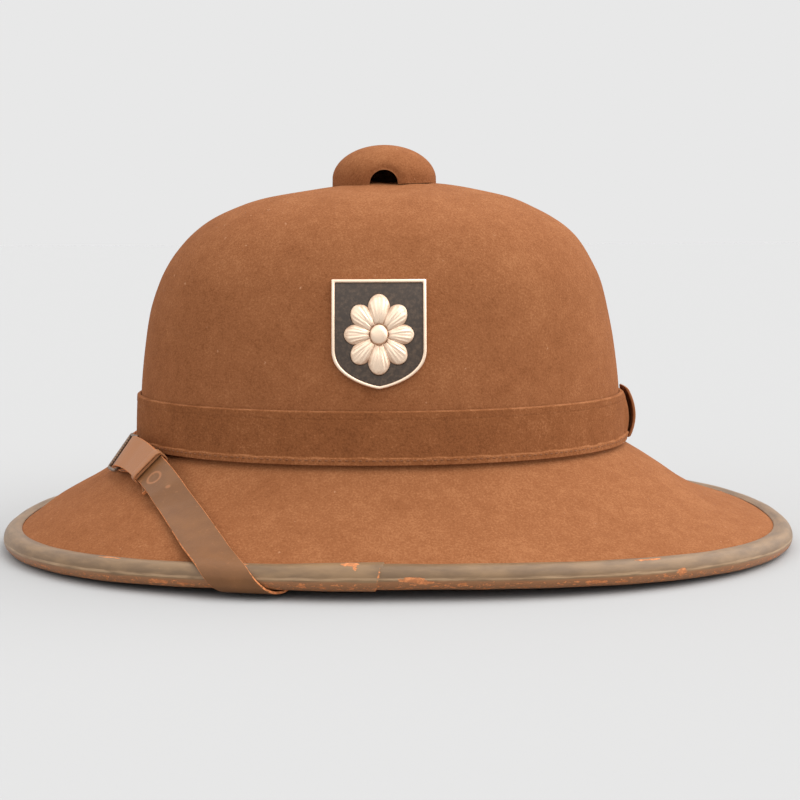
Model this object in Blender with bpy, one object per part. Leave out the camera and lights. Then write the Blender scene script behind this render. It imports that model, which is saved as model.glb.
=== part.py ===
"""Felt sun helmet of the pith helmet pattern, with a leather bound brim and a chin strap.

Lengths are in metres and +Z is up. The wearer faces -X. The helmet stands on its own brim, and the
origin is on that surface, under the middle of the brim. Pieces that rest on each other keep a small gap.
"""
import math

import bpy
import numpy as np

GAP = 0.0003

# Brim, measured over its binding
BRIM_LENGTH = 0.3362
BRIM_WIDTH = 0.2742
BRIM_SQUARENESS = 2.3
SIDE_ARCH = 0.0038
REST_ANGLE = math.radians(9)
FRONT_SLOPE = math.radians(32)
REAR_SLOPE = math.radians(28)

# Crown, measured over the felt at its foot
CROWN_LENGTH = 0.2080
CROWN_WIDTH = 0.1760
CROWN_HEIGHT = 0.1111
CROWN_SQUARENESS = 2.1
CROWN_SHIFT = -0.0075
FOOT_HEIGHT = 0.0408
FELT = 0.0030

# Leather binding: a bead round the edge, and two lips on the felt
BEAD_RADIUS = 0.0046
BEAD_STEP = math.radians(30)
FELT_IN_BEAD = 0.0015
LIP_LENGTH = 0.0046
LIP_THICKNESS = 0.0011

# Band round the crown's foot
BAND_HEIGHT = 0.0210
BAND_LIFT = 0.0008
BAND_THICKNESS = 0.0013
HEM_HEIGHT = 0.0031
HEM_THICKNESS = 0.0020

# Tab at the rear of the band
TAB_WIDTH = 0.0180
TAB_THICKNESS = 0.0013
TAB_BOW = 0.0030
TAB_RISE = 0.0010
TAB_STEPS = 12
TAB_FAR_BOW = 0.0004

# Ventilator button and the hole under it
BUTTON_RADIUS = 0.0223
BUTTON_HEIGHT = 0.0160
BUTTON_SHIFT = 0.0021
BUTTON_SKIRT = 0.0012
BUTTON_WALL = 0.0020
VENT_WIDTH = 0.0120
VENT_HEIGHT = 0.0062

# Shield badge on the left of the crown
BADGE_WIDTH = 0.0358
BADGE_HEIGHT = 0.0411
BADGE_CENTRE_X = -0.0069
BADGE_LIFT = 0.0505
BADGE_BACK = 0.0012
BADGE_RIM = 0.0013
BADGE_RIM_RISE = 0.0009
BADGE_SHOULDER = 0.36
BADGE_TAPER = 2.2
BADGE_TIP = 1.25
ROSETTE_WIDTH = 0.0270
ROSETTE_HEIGHT = 0.0310
ROSETTE_RISE = 0.0014
ROSETTE_PETALS = 8

# Chin strap
STRAP_WIDTH = 0.0143
STRAP_THICKNESS = 0.0010
STRAP_LEAN = math.radians(54)
STRAP_BAND_GAP = 0.0006
STRAP_EDGE_ANGLE = math.radians(243.0)
STRAP_UNDER_LENGTH = 0.0360
TAIL_LENGTH = 0.0105
TAIL_DRIFT = 0.30
SETTLE_LENGTH = 0.0190
FOLD_LENGTH = 0.0100

# Keeper and buckle on the chin strap
KEEPER_THICKNESS = 0.0008
KEEPER_SHIFT = 0.0250
KEEPER_EASE = 0.0150
KEEPER_LENGTH = 0.0036
BUCKLE_PLACE = 0.0355
BUCKLE_LENGTH = 0.0185
BUCKLE_BAR = 0.0014
BUCKLE_SIDE_GAP = 0.0004

AROUND = 56

# Crown outline, from the foot up, as shares of its height and of its half length
CROWN_COLUMNS = ("height", "front", "rear")
CROWN_PROFILE = (
    (0.000, 1.000, 1.004),
    (0.100, 0.997, 0.998),
    (0.240, 0.988, 0.988),
    (0.385, 0.970, 0.967),
    (0.505, 0.949, 0.941),
    (0.620, 0.910, 0.909),
    (0.700, 0.867, 0.869),
    (0.777, 0.804, 0.818),
    (0.825, 0.750, 0.768),
    (0.865, 0.688, 0.706),
    (0.900, 0.609, 0.636),
    (0.935, 0.500, 0.552),
    (0.970, 0.285, 0.400),
    (0.987, 0.160, 0.300),
    (0.995, 0.100, 0.215),
    (0.999, 0.057, 0.097),
)

# Brim's upper face, from the crown's foot out, as shares of its reach and of its fall
BRIM_COLUMNS = ("out", "front", "side", "rear")
BRIM_PROFILE = (
    (0.00, 0.000, 0.000, 0.000),
    (0.06, 0.080, 0.080, 0.075),
    (0.16, 0.200, 0.200, 0.190),
    (0.30, 0.345, 0.360, 0.365),
    (0.46, 0.495, 0.530, 0.575),
    (0.64, 0.640, 0.700, 0.760),
    (0.82, 0.795, 0.855, 0.885),
    (1.00, 1.000, 1.000, 1.000),
)


def column(table, columns, name):
    """One named column of a table, as an array."""
    return np.array([row[columns.index(name)] for row in table])


def smoothstep(value):
    """Ease from 0 to 1 with level ends."""
    value = np.clip(value, 0.0, 1.0)
    return value * value * (3.0 - 2.0 * value)


def unit(vectors):
    """Vectors of length one along the last axis."""
    return vectors / np.linalg.norm(vectors, axis=-1, keepdims=True)


def oval_radius(angles, half_length, half_width, squareness):
    """Distance from the centre of a superellipse to its outline at each polar angle."""
    along = np.abs(np.cos(angles) / half_length) ** squareness
    across = np.abs(np.sin(angles) / half_width) ** squareness
    return (along + across) ** (-1.0 / squareness)


def crown_section(height):
    """Centre and half sizes of the crown's level section at a height above its foot."""
    share = np.asarray(height) / CROWN_HEIGHT
    rows = column(CROWN_PROFILE, CROWN_COLUMNS, "height")
    front = np.interp(share, rows, column(CROWN_PROFILE, CROWN_COLUMNS, "front"))
    rear = np.interp(share, rows, column(CROWN_PROFILE, CROWN_COLUMNS, "rear"))
    centre = CROWN_SHIFT + (rear - front) * CROWN_LENGTH / 4.0
    mean = (front + rear) / 2.0
    return centre, mean * CROWN_LENGTH / 2.0, mean * CROWN_WIDTH / 2.0


def crown_points(angles, height, offset=0.0):
    """Points on the crown at polar angles and a height above its foot, moved outwards by an offset."""
    centre, half_length, half_width = crown_section(height)
    radius = oval_radius(angles, half_length + offset, half_width + offset, CROWN_SQUARENESS)
    x = centre + radius * np.cos(angles)
    y = radius * np.sin(angles)
    z = FOOT_HEIGHT + height + 0.0 * angles
    return np.stack([x, y, z], axis=-1)


def edge_slope(angles):
    """Slope of the felt under the binding, eased from the front to the rear."""
    to_rear = (1.0 + np.cos(np.asarray(angles))) / 2.0
    return FRONT_SLOPE + (REAR_SLOPE - FRONT_SLOPE) * to_rear


def edge_frame(angles):
    """Centre of the binding's bead at each angle, with the outward, sloping and upright directions there."""
    half_length = BRIM_LENGTH / 2.0 - BEAD_RADIUS
    half_width = BRIM_WIDTH / 2.0 - BEAD_RADIUS
    radius = oval_radius(angles, half_length, half_width, BRIM_SQUARENESS)
    flat = math.sin(REST_ANGLE) ** 2
    rise = np.clip((np.sin(angles) ** 2 - flat) / (1.0 - flat), 0.0, 1.0)
    height = BEAD_RADIUS * math.cos(BEAD_STEP / 2.0) + SIDE_ARCH * rise
    centre = np.stack([radius * np.cos(angles), radius * np.sin(angles), height], axis=-1)
    across = np.abs(np.cos(angles)) ** (BRIM_SQUARENESS - 1.0) * np.sign(np.cos(angles))
    along = np.abs(np.sin(angles)) ** (BRIM_SQUARENESS - 1.0) * np.sign(np.sin(angles))
    out = unit(np.stack([across / half_length ** BRIM_SQUARENESS,
                         along / half_width ** BRIM_SQUARENESS, 0.0 * angles], axis=-1))
    up = np.array([0.0, 0.0, 1.0]) + 0.0 * out
    tilt = edge_slope(angles)[..., None]
    slope = np.cos(tilt) * out - np.sin(tilt) * up
    normal = np.sin(tilt) * out + np.cos(tilt) * up
    return centre, out, slope, normal


def brim_points(angles, share):
    """Points on the brim's upper face: a share of 0 is the crown's foot, 1 the binding's lip, 2 the edge."""
    foot = crown_points(angles, 0.0)
    centre, _, slope, normal = edge_frame(angles)
    edge = centre + FELT_IN_BEAD * slope + FELT / 2.0 * normal
    lip = centre - (LIP_LENGTH + 2.0 * LIP_THICKNESS) * slope + FELT / 2.0 * normal
    rows = column(BRIM_PROFILE, BRIM_COLUMNS, "out")
    falls = {name: np.interp(share, rows, column(BRIM_PROFILE, BRIM_COLUMNS, name))
             for name in ("front", "side", "rear")}
    to_front = np.clip(-np.cos(angles), 0.0, 1.0) ** 2
    to_rear = np.clip(np.cos(angles), 0.0, 1.0) ** 2
    fall = falls["side"] + (falls["front"] - falls["side"]) * to_front
    fall += (falls["rear"] - falls["side"]) * to_rear
    within = np.clip(share, 0.0, 1.0)[..., None]
    beyond = np.clip(np.asarray(share) - 1.0, 0.0, 1.0)[..., None]
    points = foot + (lip - foot) * within + (edge - lip) * beyond
    points[..., 2] = foot[..., 2] + (lip[..., 2] - foot[..., 2]) * fall
    points[..., 2] += (edge[..., 2] - lip[..., 2]) * beyond[..., 0]
    return points


def brim_height(x, y):
    """Height of the brim's upper face over plan points, found by walking to the matching angle and share."""
    share = np.full(np.shape(x), 0.5)
    probe, damping, least_rate = 0.05, 0.7, CROWN_LENGTH / 50.0
    for _ in range(20):
        centre = CROWN_SHIFT * np.clip(1.0 - share, 0.0, 1.0)
        angles = np.arctan2(y, x - centre)
        reach = np.hypot(x, y)
        found = brim_points(angles, share)
        out = brim_points(angles, share + probe)
        here = np.hypot(found[..., 0], found[..., 1])
        rate = (np.hypot(out[..., 0], out[..., 1]) - here) / probe
        share = np.clip(share + damping * (reach - here) / np.maximum(rate, least_rate), 0.0, 1.95)
    return brim_points(angles, share)[..., 2]


def grid_normals(grid, closed):
    """Unit normals of a grid of points whose rows run up and whose columns may close into a ring."""
    up = np.gradient(grid, axis=0)
    if closed:
        along = np.roll(grid, -1, axis=1) - np.roll(grid, 1, axis=1)
    else:
        along = np.gradient(grid, axis=1)
    return unit(np.cross(along, up))


def make_object(name, vertices, faces, material):
    """A named object with its mesh, its material and smooth shading between sharp edges."""
    mesh = bpy.data.meshes.new(name)
    mesh.from_pydata([tuple(point) for point in vertices], [], faces)
    mesh.materials.append(material)
    mesh.validate()
    mesh.shade_smooth()
    mesh.set_sharp_from_angle(angle=math.radians(40))
    thing = bpy.data.objects.new(name, mesh)
    bpy.context.scene.collection.objects.link(thing)
    return thing


def torus_faces(rows, columns):
    """Faces of a grid that closes both ways."""
    faces = []
    for row in range(rows):
        for col in range(columns):
            here = row * columns
            there = (row + 1) % rows * columns
            right = (col + 1) % columns
            faces.append((here + col, here + right, there + right, there + col))
    return faces


def tube_faces(rows, columns):
    """Faces of a grid that closes along its rows only, with a flat cap at each end."""
    faces = torus_faces(rows, columns)[:(rows - 1) * columns]
    faces.append(tuple(range(columns - 1, -1, -1)))
    faces.append(tuple((rows - 1) * columns + col for col in range(columns)))
    return faces


def make_material(name, colour, roughness, metallic=0.0):
    """A plain surface with the piece's colour, roughness and metallic value."""
    material = bpy.data.materials.new(name)
    material.use_nodes = True
    shader = material.node_tree.nodes["Principled BSDF"]
    shader.inputs["Base Color"].default_value = (*colour, 1.0)
    shader.inputs["Roughness"].default_value = roughness
    shader.inputs["Metallic"].default_value = metallic
    return material


def ring_angles():
    """Polar angles of the helmet's main sections."""
    return np.arange(AROUND) * 2.0 * math.pi / AROUND


def felt_shell(material):
    """Crown and brim in one wall: the upper face is lofted through the two tables, then offset inwards."""
    angles = ring_angles()
    shares = [2.0, *column(BRIM_PROFILE, BRIM_COLUMNS, "out")[:0:-1]]
    brim = [brim_points(angles, share) for share in shares]
    heights = column(CROWN_PROFILE, CROWN_COLUMNS, "height") * CROWN_HEIGHT
    crown = [crown_points(angles, height) for height in heights]
    outer = np.array(brim + crown)
    inner = outer - FELT * grid_normals(outer, True)
    grid = np.concatenate([outer, inner[::-1]])
    return make_object("felt_shell", grid.reshape(-1, 3), torus_faces(len(grid), AROUND), material)


def hat_band(material):
    """Band with a thicker sewn hem, as a closed section carried round the crown's foot."""
    inner = GAP
    hem_top = BAND_LIFT + HEM_HEIGHT
    section = (
        (BAND_LIFT, inner),
        (BAND_LIFT, inner + HEM_THICKNESS),
        (hem_top, inner + HEM_THICKNESS),
        (hem_top, inner + BAND_THICKNESS),
        (BAND_LIFT + BAND_HEIGHT, inner + BAND_THICKNESS),
        (BAND_LIFT + BAND_HEIGHT, inner),
    )
    angles = ring_angles()
    grid = np.array([crown_points(angles, height, offset) for height, offset in section])
    return make_object("hat_band", grid.reshape(-1, 3), torus_faces(len(grid), AROUND), material)


def brim_binding(material):
    """Bead round the felt's edge with a lip above and below, as a closed section carried round the brim."""
    angles = ring_angles()
    centre, out, slope, normal = edge_frame(angles)
    up = np.array([0.0, 0.0, 1.0])
    near = FELT / 2.0 + GAP
    far = near + LIP_THICKNESS
    tip = -LIP_LENGTH
    joint = -math.sqrt(BEAD_RADIUS ** 2 - far ** 2)
    pocket = FELT_IN_BEAD + GAP
    rings = [centre + tip * slope + near * normal, centre + tip * slope + far * normal,
             centre + joint * slope + far * normal]
    first = math.pi / 2.0 + BEAD_STEP / 2.0
    for step in range(8):
        turn = first - step * BEAD_STEP
        rings.append(centre + BEAD_RADIUS * (math.cos(turn) * out + math.sin(turn) * up))
    rings += [centre + joint * slope - far * normal, centre + tip * slope - far * normal,
              centre + tip * slope - near * normal, centre + pocket * slope - near * normal,
              centre + pocket * slope + near * normal]
    grid = np.array(rings)[::-1]
    return make_object("brim_binding", grid.reshape(-1, 3), torus_faces(len(grid), AROUND), material)


def button_angles():
    """Polar angles round the button, with extra ones across the two vents."""
    half = math.asin(VENT_WIDTH / 2.0 / BUTTON_RADIUS)
    vent = np.linspace(-half, half, 9)
    plain = np.linspace(half, math.pi - half, 13)[1:-1]
    quarter = np.concatenate([vent, plain])
    return np.concatenate([quarter, quarter + math.pi]) + math.pi / 2.0


def crown_height_at(x, y):
    """Height of the crown's upper face over plan points near its top."""
    rows = column(CROWN_PROFILE, CROWN_COLUMNS, "height")[::-1] * CROWN_HEIGHT
    reaches = []
    for height in rows:
        centre, half_length, half_width = crown_section(height)
        angle = np.arctan2(y, x - centre)
        radius = oval_radius(angle, half_length, half_width, CROWN_SQUARENESS)
        reaches.append(np.hypot(x - centre, y) / radius)
    reaches = np.array(reaches)
    heights = []
    for spot in range(reaches.shape[1]):
        heights.append(np.interp(-1.0, -reaches[:, spot], rows))
    return FOOT_HEIGHT + np.array(heights)


def vent_button(material):
    """Hollow dome: a skirt that follows the crown, an elliptical top and an arched vent on each side."""
    angles = button_angles()
    centre_x = CROWN_SHIFT + BUTTON_SHIFT
    top = FOOT_HEIGHT + CROWN_HEIGHT + BUTTON_HEIGHT
    base = FOOT_HEIGHT + CROWN_HEIGHT + BUTTON_SKIRT

    def outline(radius):
        return centre_x + radius * np.cos(angles), radius * np.sin(angles)

    def dome(radius, height):
        rim_x, rim_y = outline(radius)
        rim = crown_height_at(rim_x, rim_y) + GAP
        from_vent = np.abs(radius * np.cos(angles)) / (VENT_WIDTH / 2.0)
        arch = VENT_HEIGHT * np.sqrt(np.clip(1.0 - from_vent ** 2, 0.0, 1.0))
        rings = [np.stack([rim_x, rim_y, rim + arch], axis=-1)]
        for turn in np.radians((8.0, 28.0, 46.0, 62.0, 76.0)):
            x, y = outline(radius * math.cos(turn))
            z = np.maximum(base + (height - base) * math.sin(turn), rim + arch + GAP)
            rings.append(np.stack([x, y, z], axis=-1))
        return rings

    outer = dome(BUTTON_RADIUS, top)
    inner = dome(BUTTON_RADIUS - BUTTON_WALL, top - BUTTON_WALL)
    rings = np.array(inner[::-1] + outer)
    count = len(angles)
    faces = torus_faces(len(rings), count)[:(len(rings) - 1) * count]
    vertices = list(rings.reshape(-1, 3))
    inner_pole = len(vertices)
    vertices.append((centre_x, 0.0, top - BUTTON_WALL))
    vertices.append((centre_x, 0.0, top))
    last = (len(rings) - 1) * count
    for col in range(count):
        right = (col + 1) % count
        faces.append((inner_pole, right, col))
        faces.append((inner_pole + 1, last + col, last + right))
    return make_object("vent_button", vertices, faces, material)


def rear_tab(material):
    """Strip that stands upright over the band's join at the rear. One edge bows away from the band, and
    the other lies on it."""
    half_angle = TAB_WIDTH / CROWN_LENGTH
    across = np.linspace(-half_angle, half_angle, 4)
    low = BAND_LIFT + 2.0 * GAP
    high = BAND_LIFT + BAND_HEIGHT + TAB_RISE
    rest = HEM_THICKNESS + 2.0 * GAP
    lift = np.linspace(TAB_BOW, TAB_FAR_BOW, len(across))
    inside = []
    outside = []
    for share in np.linspace(0.0, 1.0, TAB_STEPS):
        height = low + (high - low) * share
        bow = rest + lift * math.sin(math.pi * share) ** 0.8
        inside.append(crown_points(across, height, bow))
        outside.append(crown_points(across, height, bow + TAB_THICKNESS))
    rows = np.array([np.concatenate([first[::-1], second]) for first, second in zip(inside, outside)])
    return make_object("rear_tab", rows.reshape(-1, 3), tube_faces(*rows.shape[:2]), material)


def badge_radius(angles, width, height):
    """Distance from a shield's middle to its outline: a flat top, upright sides, and below the shoulder two
    curves that meet in a blunt point."""
    share = np.linspace(0.0, 1.0, 200)
    curve_x = width / 2.0 * (1.0 - (1.0 - share) ** BADGE_TAPER)
    curve_y = height * (BADGE_SHOULDER * share ** BADGE_TIP - 0.5)
    turn = np.arctan2(curve_y, curve_x)
    folded = np.arctan2(np.sin(angles), np.abs(np.cos(angles)))
    side = width / 2.0 / np.maximum(np.abs(np.cos(angles)), 1e-6)
    top = height / 2.0 / np.maximum(np.sin(angles), 1e-6)
    base = np.interp(folded, turn, np.hypot(curve_x, curve_y))
    return np.where(folded < turn[-1], base, np.minimum(side, top))


def badge(material):
    """Shield bent to the crown, as closed loops from the middle of its ornament out to its rim and back."""
    count = 64
    angles = np.arange(count) * 2.0 * math.pi / count
    outline = badge_radius(angles, BADGE_WIDTH, BADGE_HEIGHT)
    inside = badge_radius(angles, BADGE_WIDTH - 2.0 * BADGE_RIM, BADGE_HEIGHT - 2.0 * BADGE_RIM)
    star = oval_radius(angles, ROSETTE_WIDTH / 2.0, ROSETTE_HEIGHT / 2.0, 2.0)
    petal = 0.74 + 0.26 * np.abs(np.cos(ROSETTE_PETALS / 2.0 * (angles + math.pi / 2.0))) ** 0.8
    crest = ROSETTE_RISE * (0.55 + 0.45 * np.abs(np.cos(ROSETTE_PETALS / 2.0 * (angles + math.pi / 2.0))))
    ground = BADGE_BACK + 0.0 * angles
    loops = (
        (0.16 * star, ground + ROSETTE_RISE),
        (0.20 * star, ground + 0.45 * ROSETTE_RISE),
        (0.58 * star * petal, ground + crest),
        (0.94 * star * petal, ground + 0.5 * crest),
        (star * petal, ground),
        (inside, ground),
        (inside + 0.25 * BADGE_RIM, ground + BADGE_RIM_RISE),
        (outline - 0.25 * BADGE_RIM, ground + BADGE_RIM_RISE),
        (outline, ground),
        (outline, 0.0 * angles),
        (0.72 * outline, 0.0 * angles),
        (0.38 * outline, 0.0 * angles),
    )
    rings = [badge_points(reach * np.cos(angles), reach * np.sin(angles), rise) for reach, rise in loops]
    rings = np.array(rings)[::-1]
    faces = torus_faces(len(rings), count)[:(len(rings) - 1) * count]
    vertices = list(rings.reshape(-1, 3))
    back = len(vertices)
    middle = np.zeros(1)
    vertices.append(badge_points(middle, middle, middle)[0])
    vertices.append(badge_points(middle, middle, middle + BADGE_BACK + 1.15 * ROSETTE_RISE)[0])
    last = (len(rings) - 1) * count
    for col in range(count):
        right = (col + 1) % count
        faces.append((back, right, col))
        faces.append((back + 1, last + col, last + right))
    return make_object("badge", vertices, faces, material)


def badge_points(across, upward, rise):
    """Points over the crown's left side, from distances across and up the badge and a rise off the felt."""
    x = BADGE_CENTRE_X + across
    height = BADGE_LIFT + upward

    def depth(at_x, at_height):
        centre, half_length, half_width = crown_section(at_height)
        inside = 1.0 - np.abs((at_x - centre) / half_length) ** CROWN_SQUARENESS
        return -half_width * inside ** (1.0 / CROWN_SQUARENESS)

    step = BADGE_WIDTH / 18.0
    lean = (depth(x + step, height) - depth(x - step, height)) / (2.0 * step)
    tilt = (depth(x, height + step) - depth(x, height - step)) / (2.0 * step)
    spots = np.stack([x, depth(x, height), FOOT_HEIGHT + height], axis=-1)
    normal = unit(np.stack([lean, -1.0 + 0.0 * x, tilt], axis=-1))
    return spots + (rise + GAP)[:, None] * normal


def strap_route():
    """The chin strap's line on the left, from the front's middle to its sewn end under the brim.

    Returns the distance along it, the middle of the strap's face that lies on the helmet, half of its
    width as a vector towards the crown, the direction away from the helmet, and the keeper's place, which
    is measured from the buckle's middle.
    """
    lean_in = math.cos(STRAP_LEAN)
    lean_up = math.sin(STRAP_LEAN)
    up = np.array([0.0, 0.0, 1.0])
    offset = GAP + HEM_THICKNESS + STRAP_BAND_GAP + STRAP_WIDTH / 2.0 * lean_in
    clearance = 1.5 * GAP
    edge_angle = np.array([STRAP_EDGE_ANGLE])
    bead, out, _, _ = (part[0] for part in edge_frame(edge_angle))

    angles = np.linspace(math.pi, STRAP_EDGE_ANGLE, 241)
    path = crown_points(angles, 0.0, offset)
    heading = unit(np.gradient(path, axis=0))
    to_edge = bead - path
    turn = heading[:, 0] * to_edge[:, 1] - heading[:, 1] * to_edge[:, 0]
    leave = int(np.argmax(turn < 0.0)) if np.any(turn < 0.0) else len(angles) // 2
    picks = np.linspace(0, leave, 13).round().astype(int)
    arc = path[picks]
    arc_out = np.cross(heading[picks], up)
    arc_out *= np.sign(np.sum(arc_out * (arc - np.array([CROWN_SHIFT, 0.0, 0.0])), axis=1))[:, None]
    foot = arc + STRAP_WIDTH / 2.0 * lean_in * arc_out
    arc[:, 2] = brim_height(foot[:, 0], foot[:, 1]) + clearance + STRAP_WIDTH / 2.0 * lean_up
    arc_half = STRAP_WIDTH / 2.0 * (lean_up * up - lean_in * arc_out)
    arc_normal = lean_up * arc_out + lean_in * up

    tangent = np.cross(up, out)
    reach = np.linalg.norm((bead - arc[-1])[:2])
    skew = math.acos(float(np.dot((bead - arc[-1])[:2], out[:2])) / reach)
    fall = math.atan2(arc[-1][2] - bead[2] - BEAD_RADIUS, reach * math.cos(skew))
    wrap = BEAD_RADIUS + 1.5 * GAP
    tilt = float(edge_slope(STRAP_EDGE_ANGLE))
    landing = bead + wrap * (math.sin(fall) * out + math.cos(fall) * up)
    slanted = STRAP_WIDTH / 2.0 / math.cos(skew) * tangent
    line_share = np.linspace(0.0, 1.0, 17)[1:, None]
    ease = smoothstep(line_share)
    line = arc[-1] + (landing - arc[-1]) * line_share
    line_half = arc_half[-1] + (slanted - arc_half[-1]) * ease
    flat = unit(np.cross(slanted, landing - arc[-1]))
    flat *= np.sign(flat[2])
    line_normal = unit(arc_normal[-1] + (flat - arc_normal[-1]) * ease)

    turns = np.linspace(math.pi / 2.0 - fall, -math.pi / 2.0 - tilt, 9)[1:]
    slide = wrap * (turns[0] - turns + turns[0] - turns[1]) * math.tan(skew)
    ring = float(np.linalg.norm(bead[:2]))
    bead_centre, bead_out, _, _ = edge_frame(STRAP_EDGE_ANGLE + slide / ring)
    around = np.cos(turns)[:, None] * bead_out + np.sin(turns)[:, None] * up
    bend = bead_centre + wrap * around
    bend_half = STRAP_WIDTH / 2.0 / math.cos(skew) * np.cross(up, bead_out)

    inward = np.linspace(0.0, STRAP_UNDER_LENGTH, 8)[1:]
    slide_in = slide[-1] + inward * math.tan(skew)
    under_centre, under_out, _, _ = edge_frame(STRAP_EDGE_ANGLE + slide_in / ring)
    start = wrap * math.sin(tilt)
    under = under_centre - (inward + start)[:, None] * under_out
    under_half = STRAP_WIDTH / 2.0 / math.cos(skew) * np.cross(up, under_out)
    past_lip = smoothstep((inward - LIP_LENGTH) / LIP_LENGTH)
    near_bead = (FELT / 2.0 + wrap) / math.cos(tilt)
    near_felt = FELT * 1.5 + 2.0 * GAP
    depth = near_bead + (near_felt - near_bead) * past_lip
    for side in (-1.0, 1.0):
        corner = under + side * under_half
        level = brim_height(corner[:, 0], corner[:, 1]) - depth
        under[:, 2] = level if side < 0.0 else np.minimum(under[:, 2], level)
    under_normal = unit(-math.cos(tilt) * up - math.sin(tilt) * under_out)

    centre = np.concatenate([arc, line, bend, under])
    half = np.concatenate([arc_half, line_half, bend_half, under_half])
    normal = np.concatenate([arc_normal, line_normal, around, under_normal])
    on_brim = len(arc) + len(line) - 3
    steps = np.linalg.norm(np.diff(centre, axis=0), axis=1)
    along = np.concatenate([[0.0], np.cumsum(steps)])
    keeper = along[len(arc) - 1] + KEEPER_SHIFT
    over_keeper = (KEEPER_THICKNESS + 2.0 * GAP) * smoothstep(2.0 - np.abs(along - keeper) / KEEPER_EASE)
    over_lip = LIP_THICKNESS + GAP
    to_edge = np.concatenate([0.0 * picks, line_share[:, 0]])
    lift = clearance + np.maximum(over_keeper[:len(to_edge)], over_lip * smoothstep(1.7 * to_edge - 0.3))
    for index in range(on_brim):
        for side in (-1.0, 1.0):
            corner = centre[index] + side * half[index]
            level = brim_height(corner[0], corner[1]) + lift[index]
            centre[index, 2] += max(0.0, float(level) - corner[2])
    return along, centre, half, normal, keeper - BUCKLE_PLACE


def strap_points(route, along, across, rise):
    """Points over the strap's route: a distance along it from the buckle's middle, a share of half its
    width towards the crown, and a height off the face that lies on the helmet. Past the front's middle the
    route is mirrored to the right side."""
    stations, centre, half, normal, _ = route
    place = np.asarray(along) + BUCKLE_PLACE
    spots = []
    for rows in (centre, half, normal):
        axes = [np.interp(np.abs(place), stations, rows[:, axis]) for axis in range(3)]
        spots.append(np.stack(axes, axis=-1))
    point = spots[0] + np.asarray(across)[..., None] * spots[1] + np.asarray(rise)[..., None] * unit(spots[2])
    point[..., 1] *= np.where(place < 0.0, -1.0, 1.0)
    return point


def ribbon(name, route, path, material, drift=0.0):
    """A strap of even thickness, from its lower face as distances along the route and rises off it.

    The drift moves each station sideways, as a share of half the strap's width.
    """
    path = np.array(path)
    heading = unit(np.gradient(path, axis=0))
    upper = path + STRAP_THICKNESS * np.stack([heading[:, 1], -heading[:, 0]], axis=-1)
    sides = (
        strap_points(route, path[:, 0], 1.0 - drift + 0.0 * path[:, 0], path[:, 1]),
        strap_points(route, path[:, 0], -1.0 - drift + 0.0 * path[:, 0], path[:, 1]),
        strap_points(route, upper[:, 0], -1.0 - drift + 0.0 * upper[:, 0], upper[:, 1]),
        strap_points(route, upper[:, 0], 1.0 - drift + 0.0 * upper[:, 0], upper[:, 1]),
    )
    grid = np.stack(sides, axis=1)
    return make_object(name, grid.reshape(-1, 3), tube_faces(len(grid), 4), material)


def stations_between(route, low, high):
    """The route's own stations between two distances, with both ends, from the far one to the near one."""
    stations = route[0] - BUCKLE_PLACE
    inside = stations[(stations > low + STRAP_THICKNESS) & (stations < high - STRAP_THICKNESS)]
    return [high, *inside[::-1], low]


def strap_layers():
    """Rise of each layer of strap over the last, height of the buckle's near bar, and the bars' place."""
    layer = STRAP_THICKNESS + 2.0 * GAP
    bar_height = layer + STRAP_THICKNESS + GAP + BUCKLE_BAR / 2.0
    bar_place = (BUCKLE_LENGTH - BUCKLE_BAR) / 2.0
    return layer, bar_height, bar_place


def strap_left(route, material):
    """Strap from under the left brim to the buckle, round its bar and folded back to the keeper."""
    end, keeper = route[0][-1] - BUCKLE_PLACE, route[4]
    layer, bar_height, bar_place = strap_layers()
    settled = keeper + TAIL_LENGTH + SETTLE_LENGTH
    lower = [(place, layer * float(smoothstep((settled - place) / TAIL_LENGTH)))
             for place in stations_between(route, bar_place + BUCKLE_BAR, end)]
    loop = BUCKLE_BAR / 2.0 + GAP + STRAP_THICKNESS
    hook = [(bar_place - loop * math.cos(turn), bar_height + loop * math.sin(turn))
            for turn in np.linspace(-math.pi / 2.0, math.pi / 2.0, 9)]
    top = 2.0 * layer + STRAP_THICKNESS
    crest = bar_height + loop
    last = keeper + KEEPER_LENGTH / 2.0
    start = bar_place + BUCKLE_BAR
    fold = [*np.linspace(start, bar_place + FOLD_LENGTH, 5),
            *stations_between(route, start + FOLD_LENGTH, last)[::-1]]
    back = [(place, crest + (top - crest) * float(smoothstep((place - start) / FOLD_LENGTH)))
            for place in fold]
    return ribbon("strap_left", route, lower + hook + back, material)


def strap_right(route, material):
    """Strap from its tail under the keeper, beneath the buckle and round the front to the right brim."""
    keeper = route[4]
    near = stations_between(route, -BUCKLE_PLACE, keeper + TAIL_LENGTH)
    far = -route[0][1:] - BUCKLE_PLACE
    path = [(place, 0.0) for place in (*near, *far)]
    past_keeper = np.array([place - keeper - KEEPER_LENGTH for place, _ in path])
    drift = TAIL_DRIFT * np.clip(past_keeper / (TAIL_LENGTH - KEEPER_LENGTH), 0.0, 1.0)
    return ribbon("strap_right", route, path, material, drift)


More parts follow.
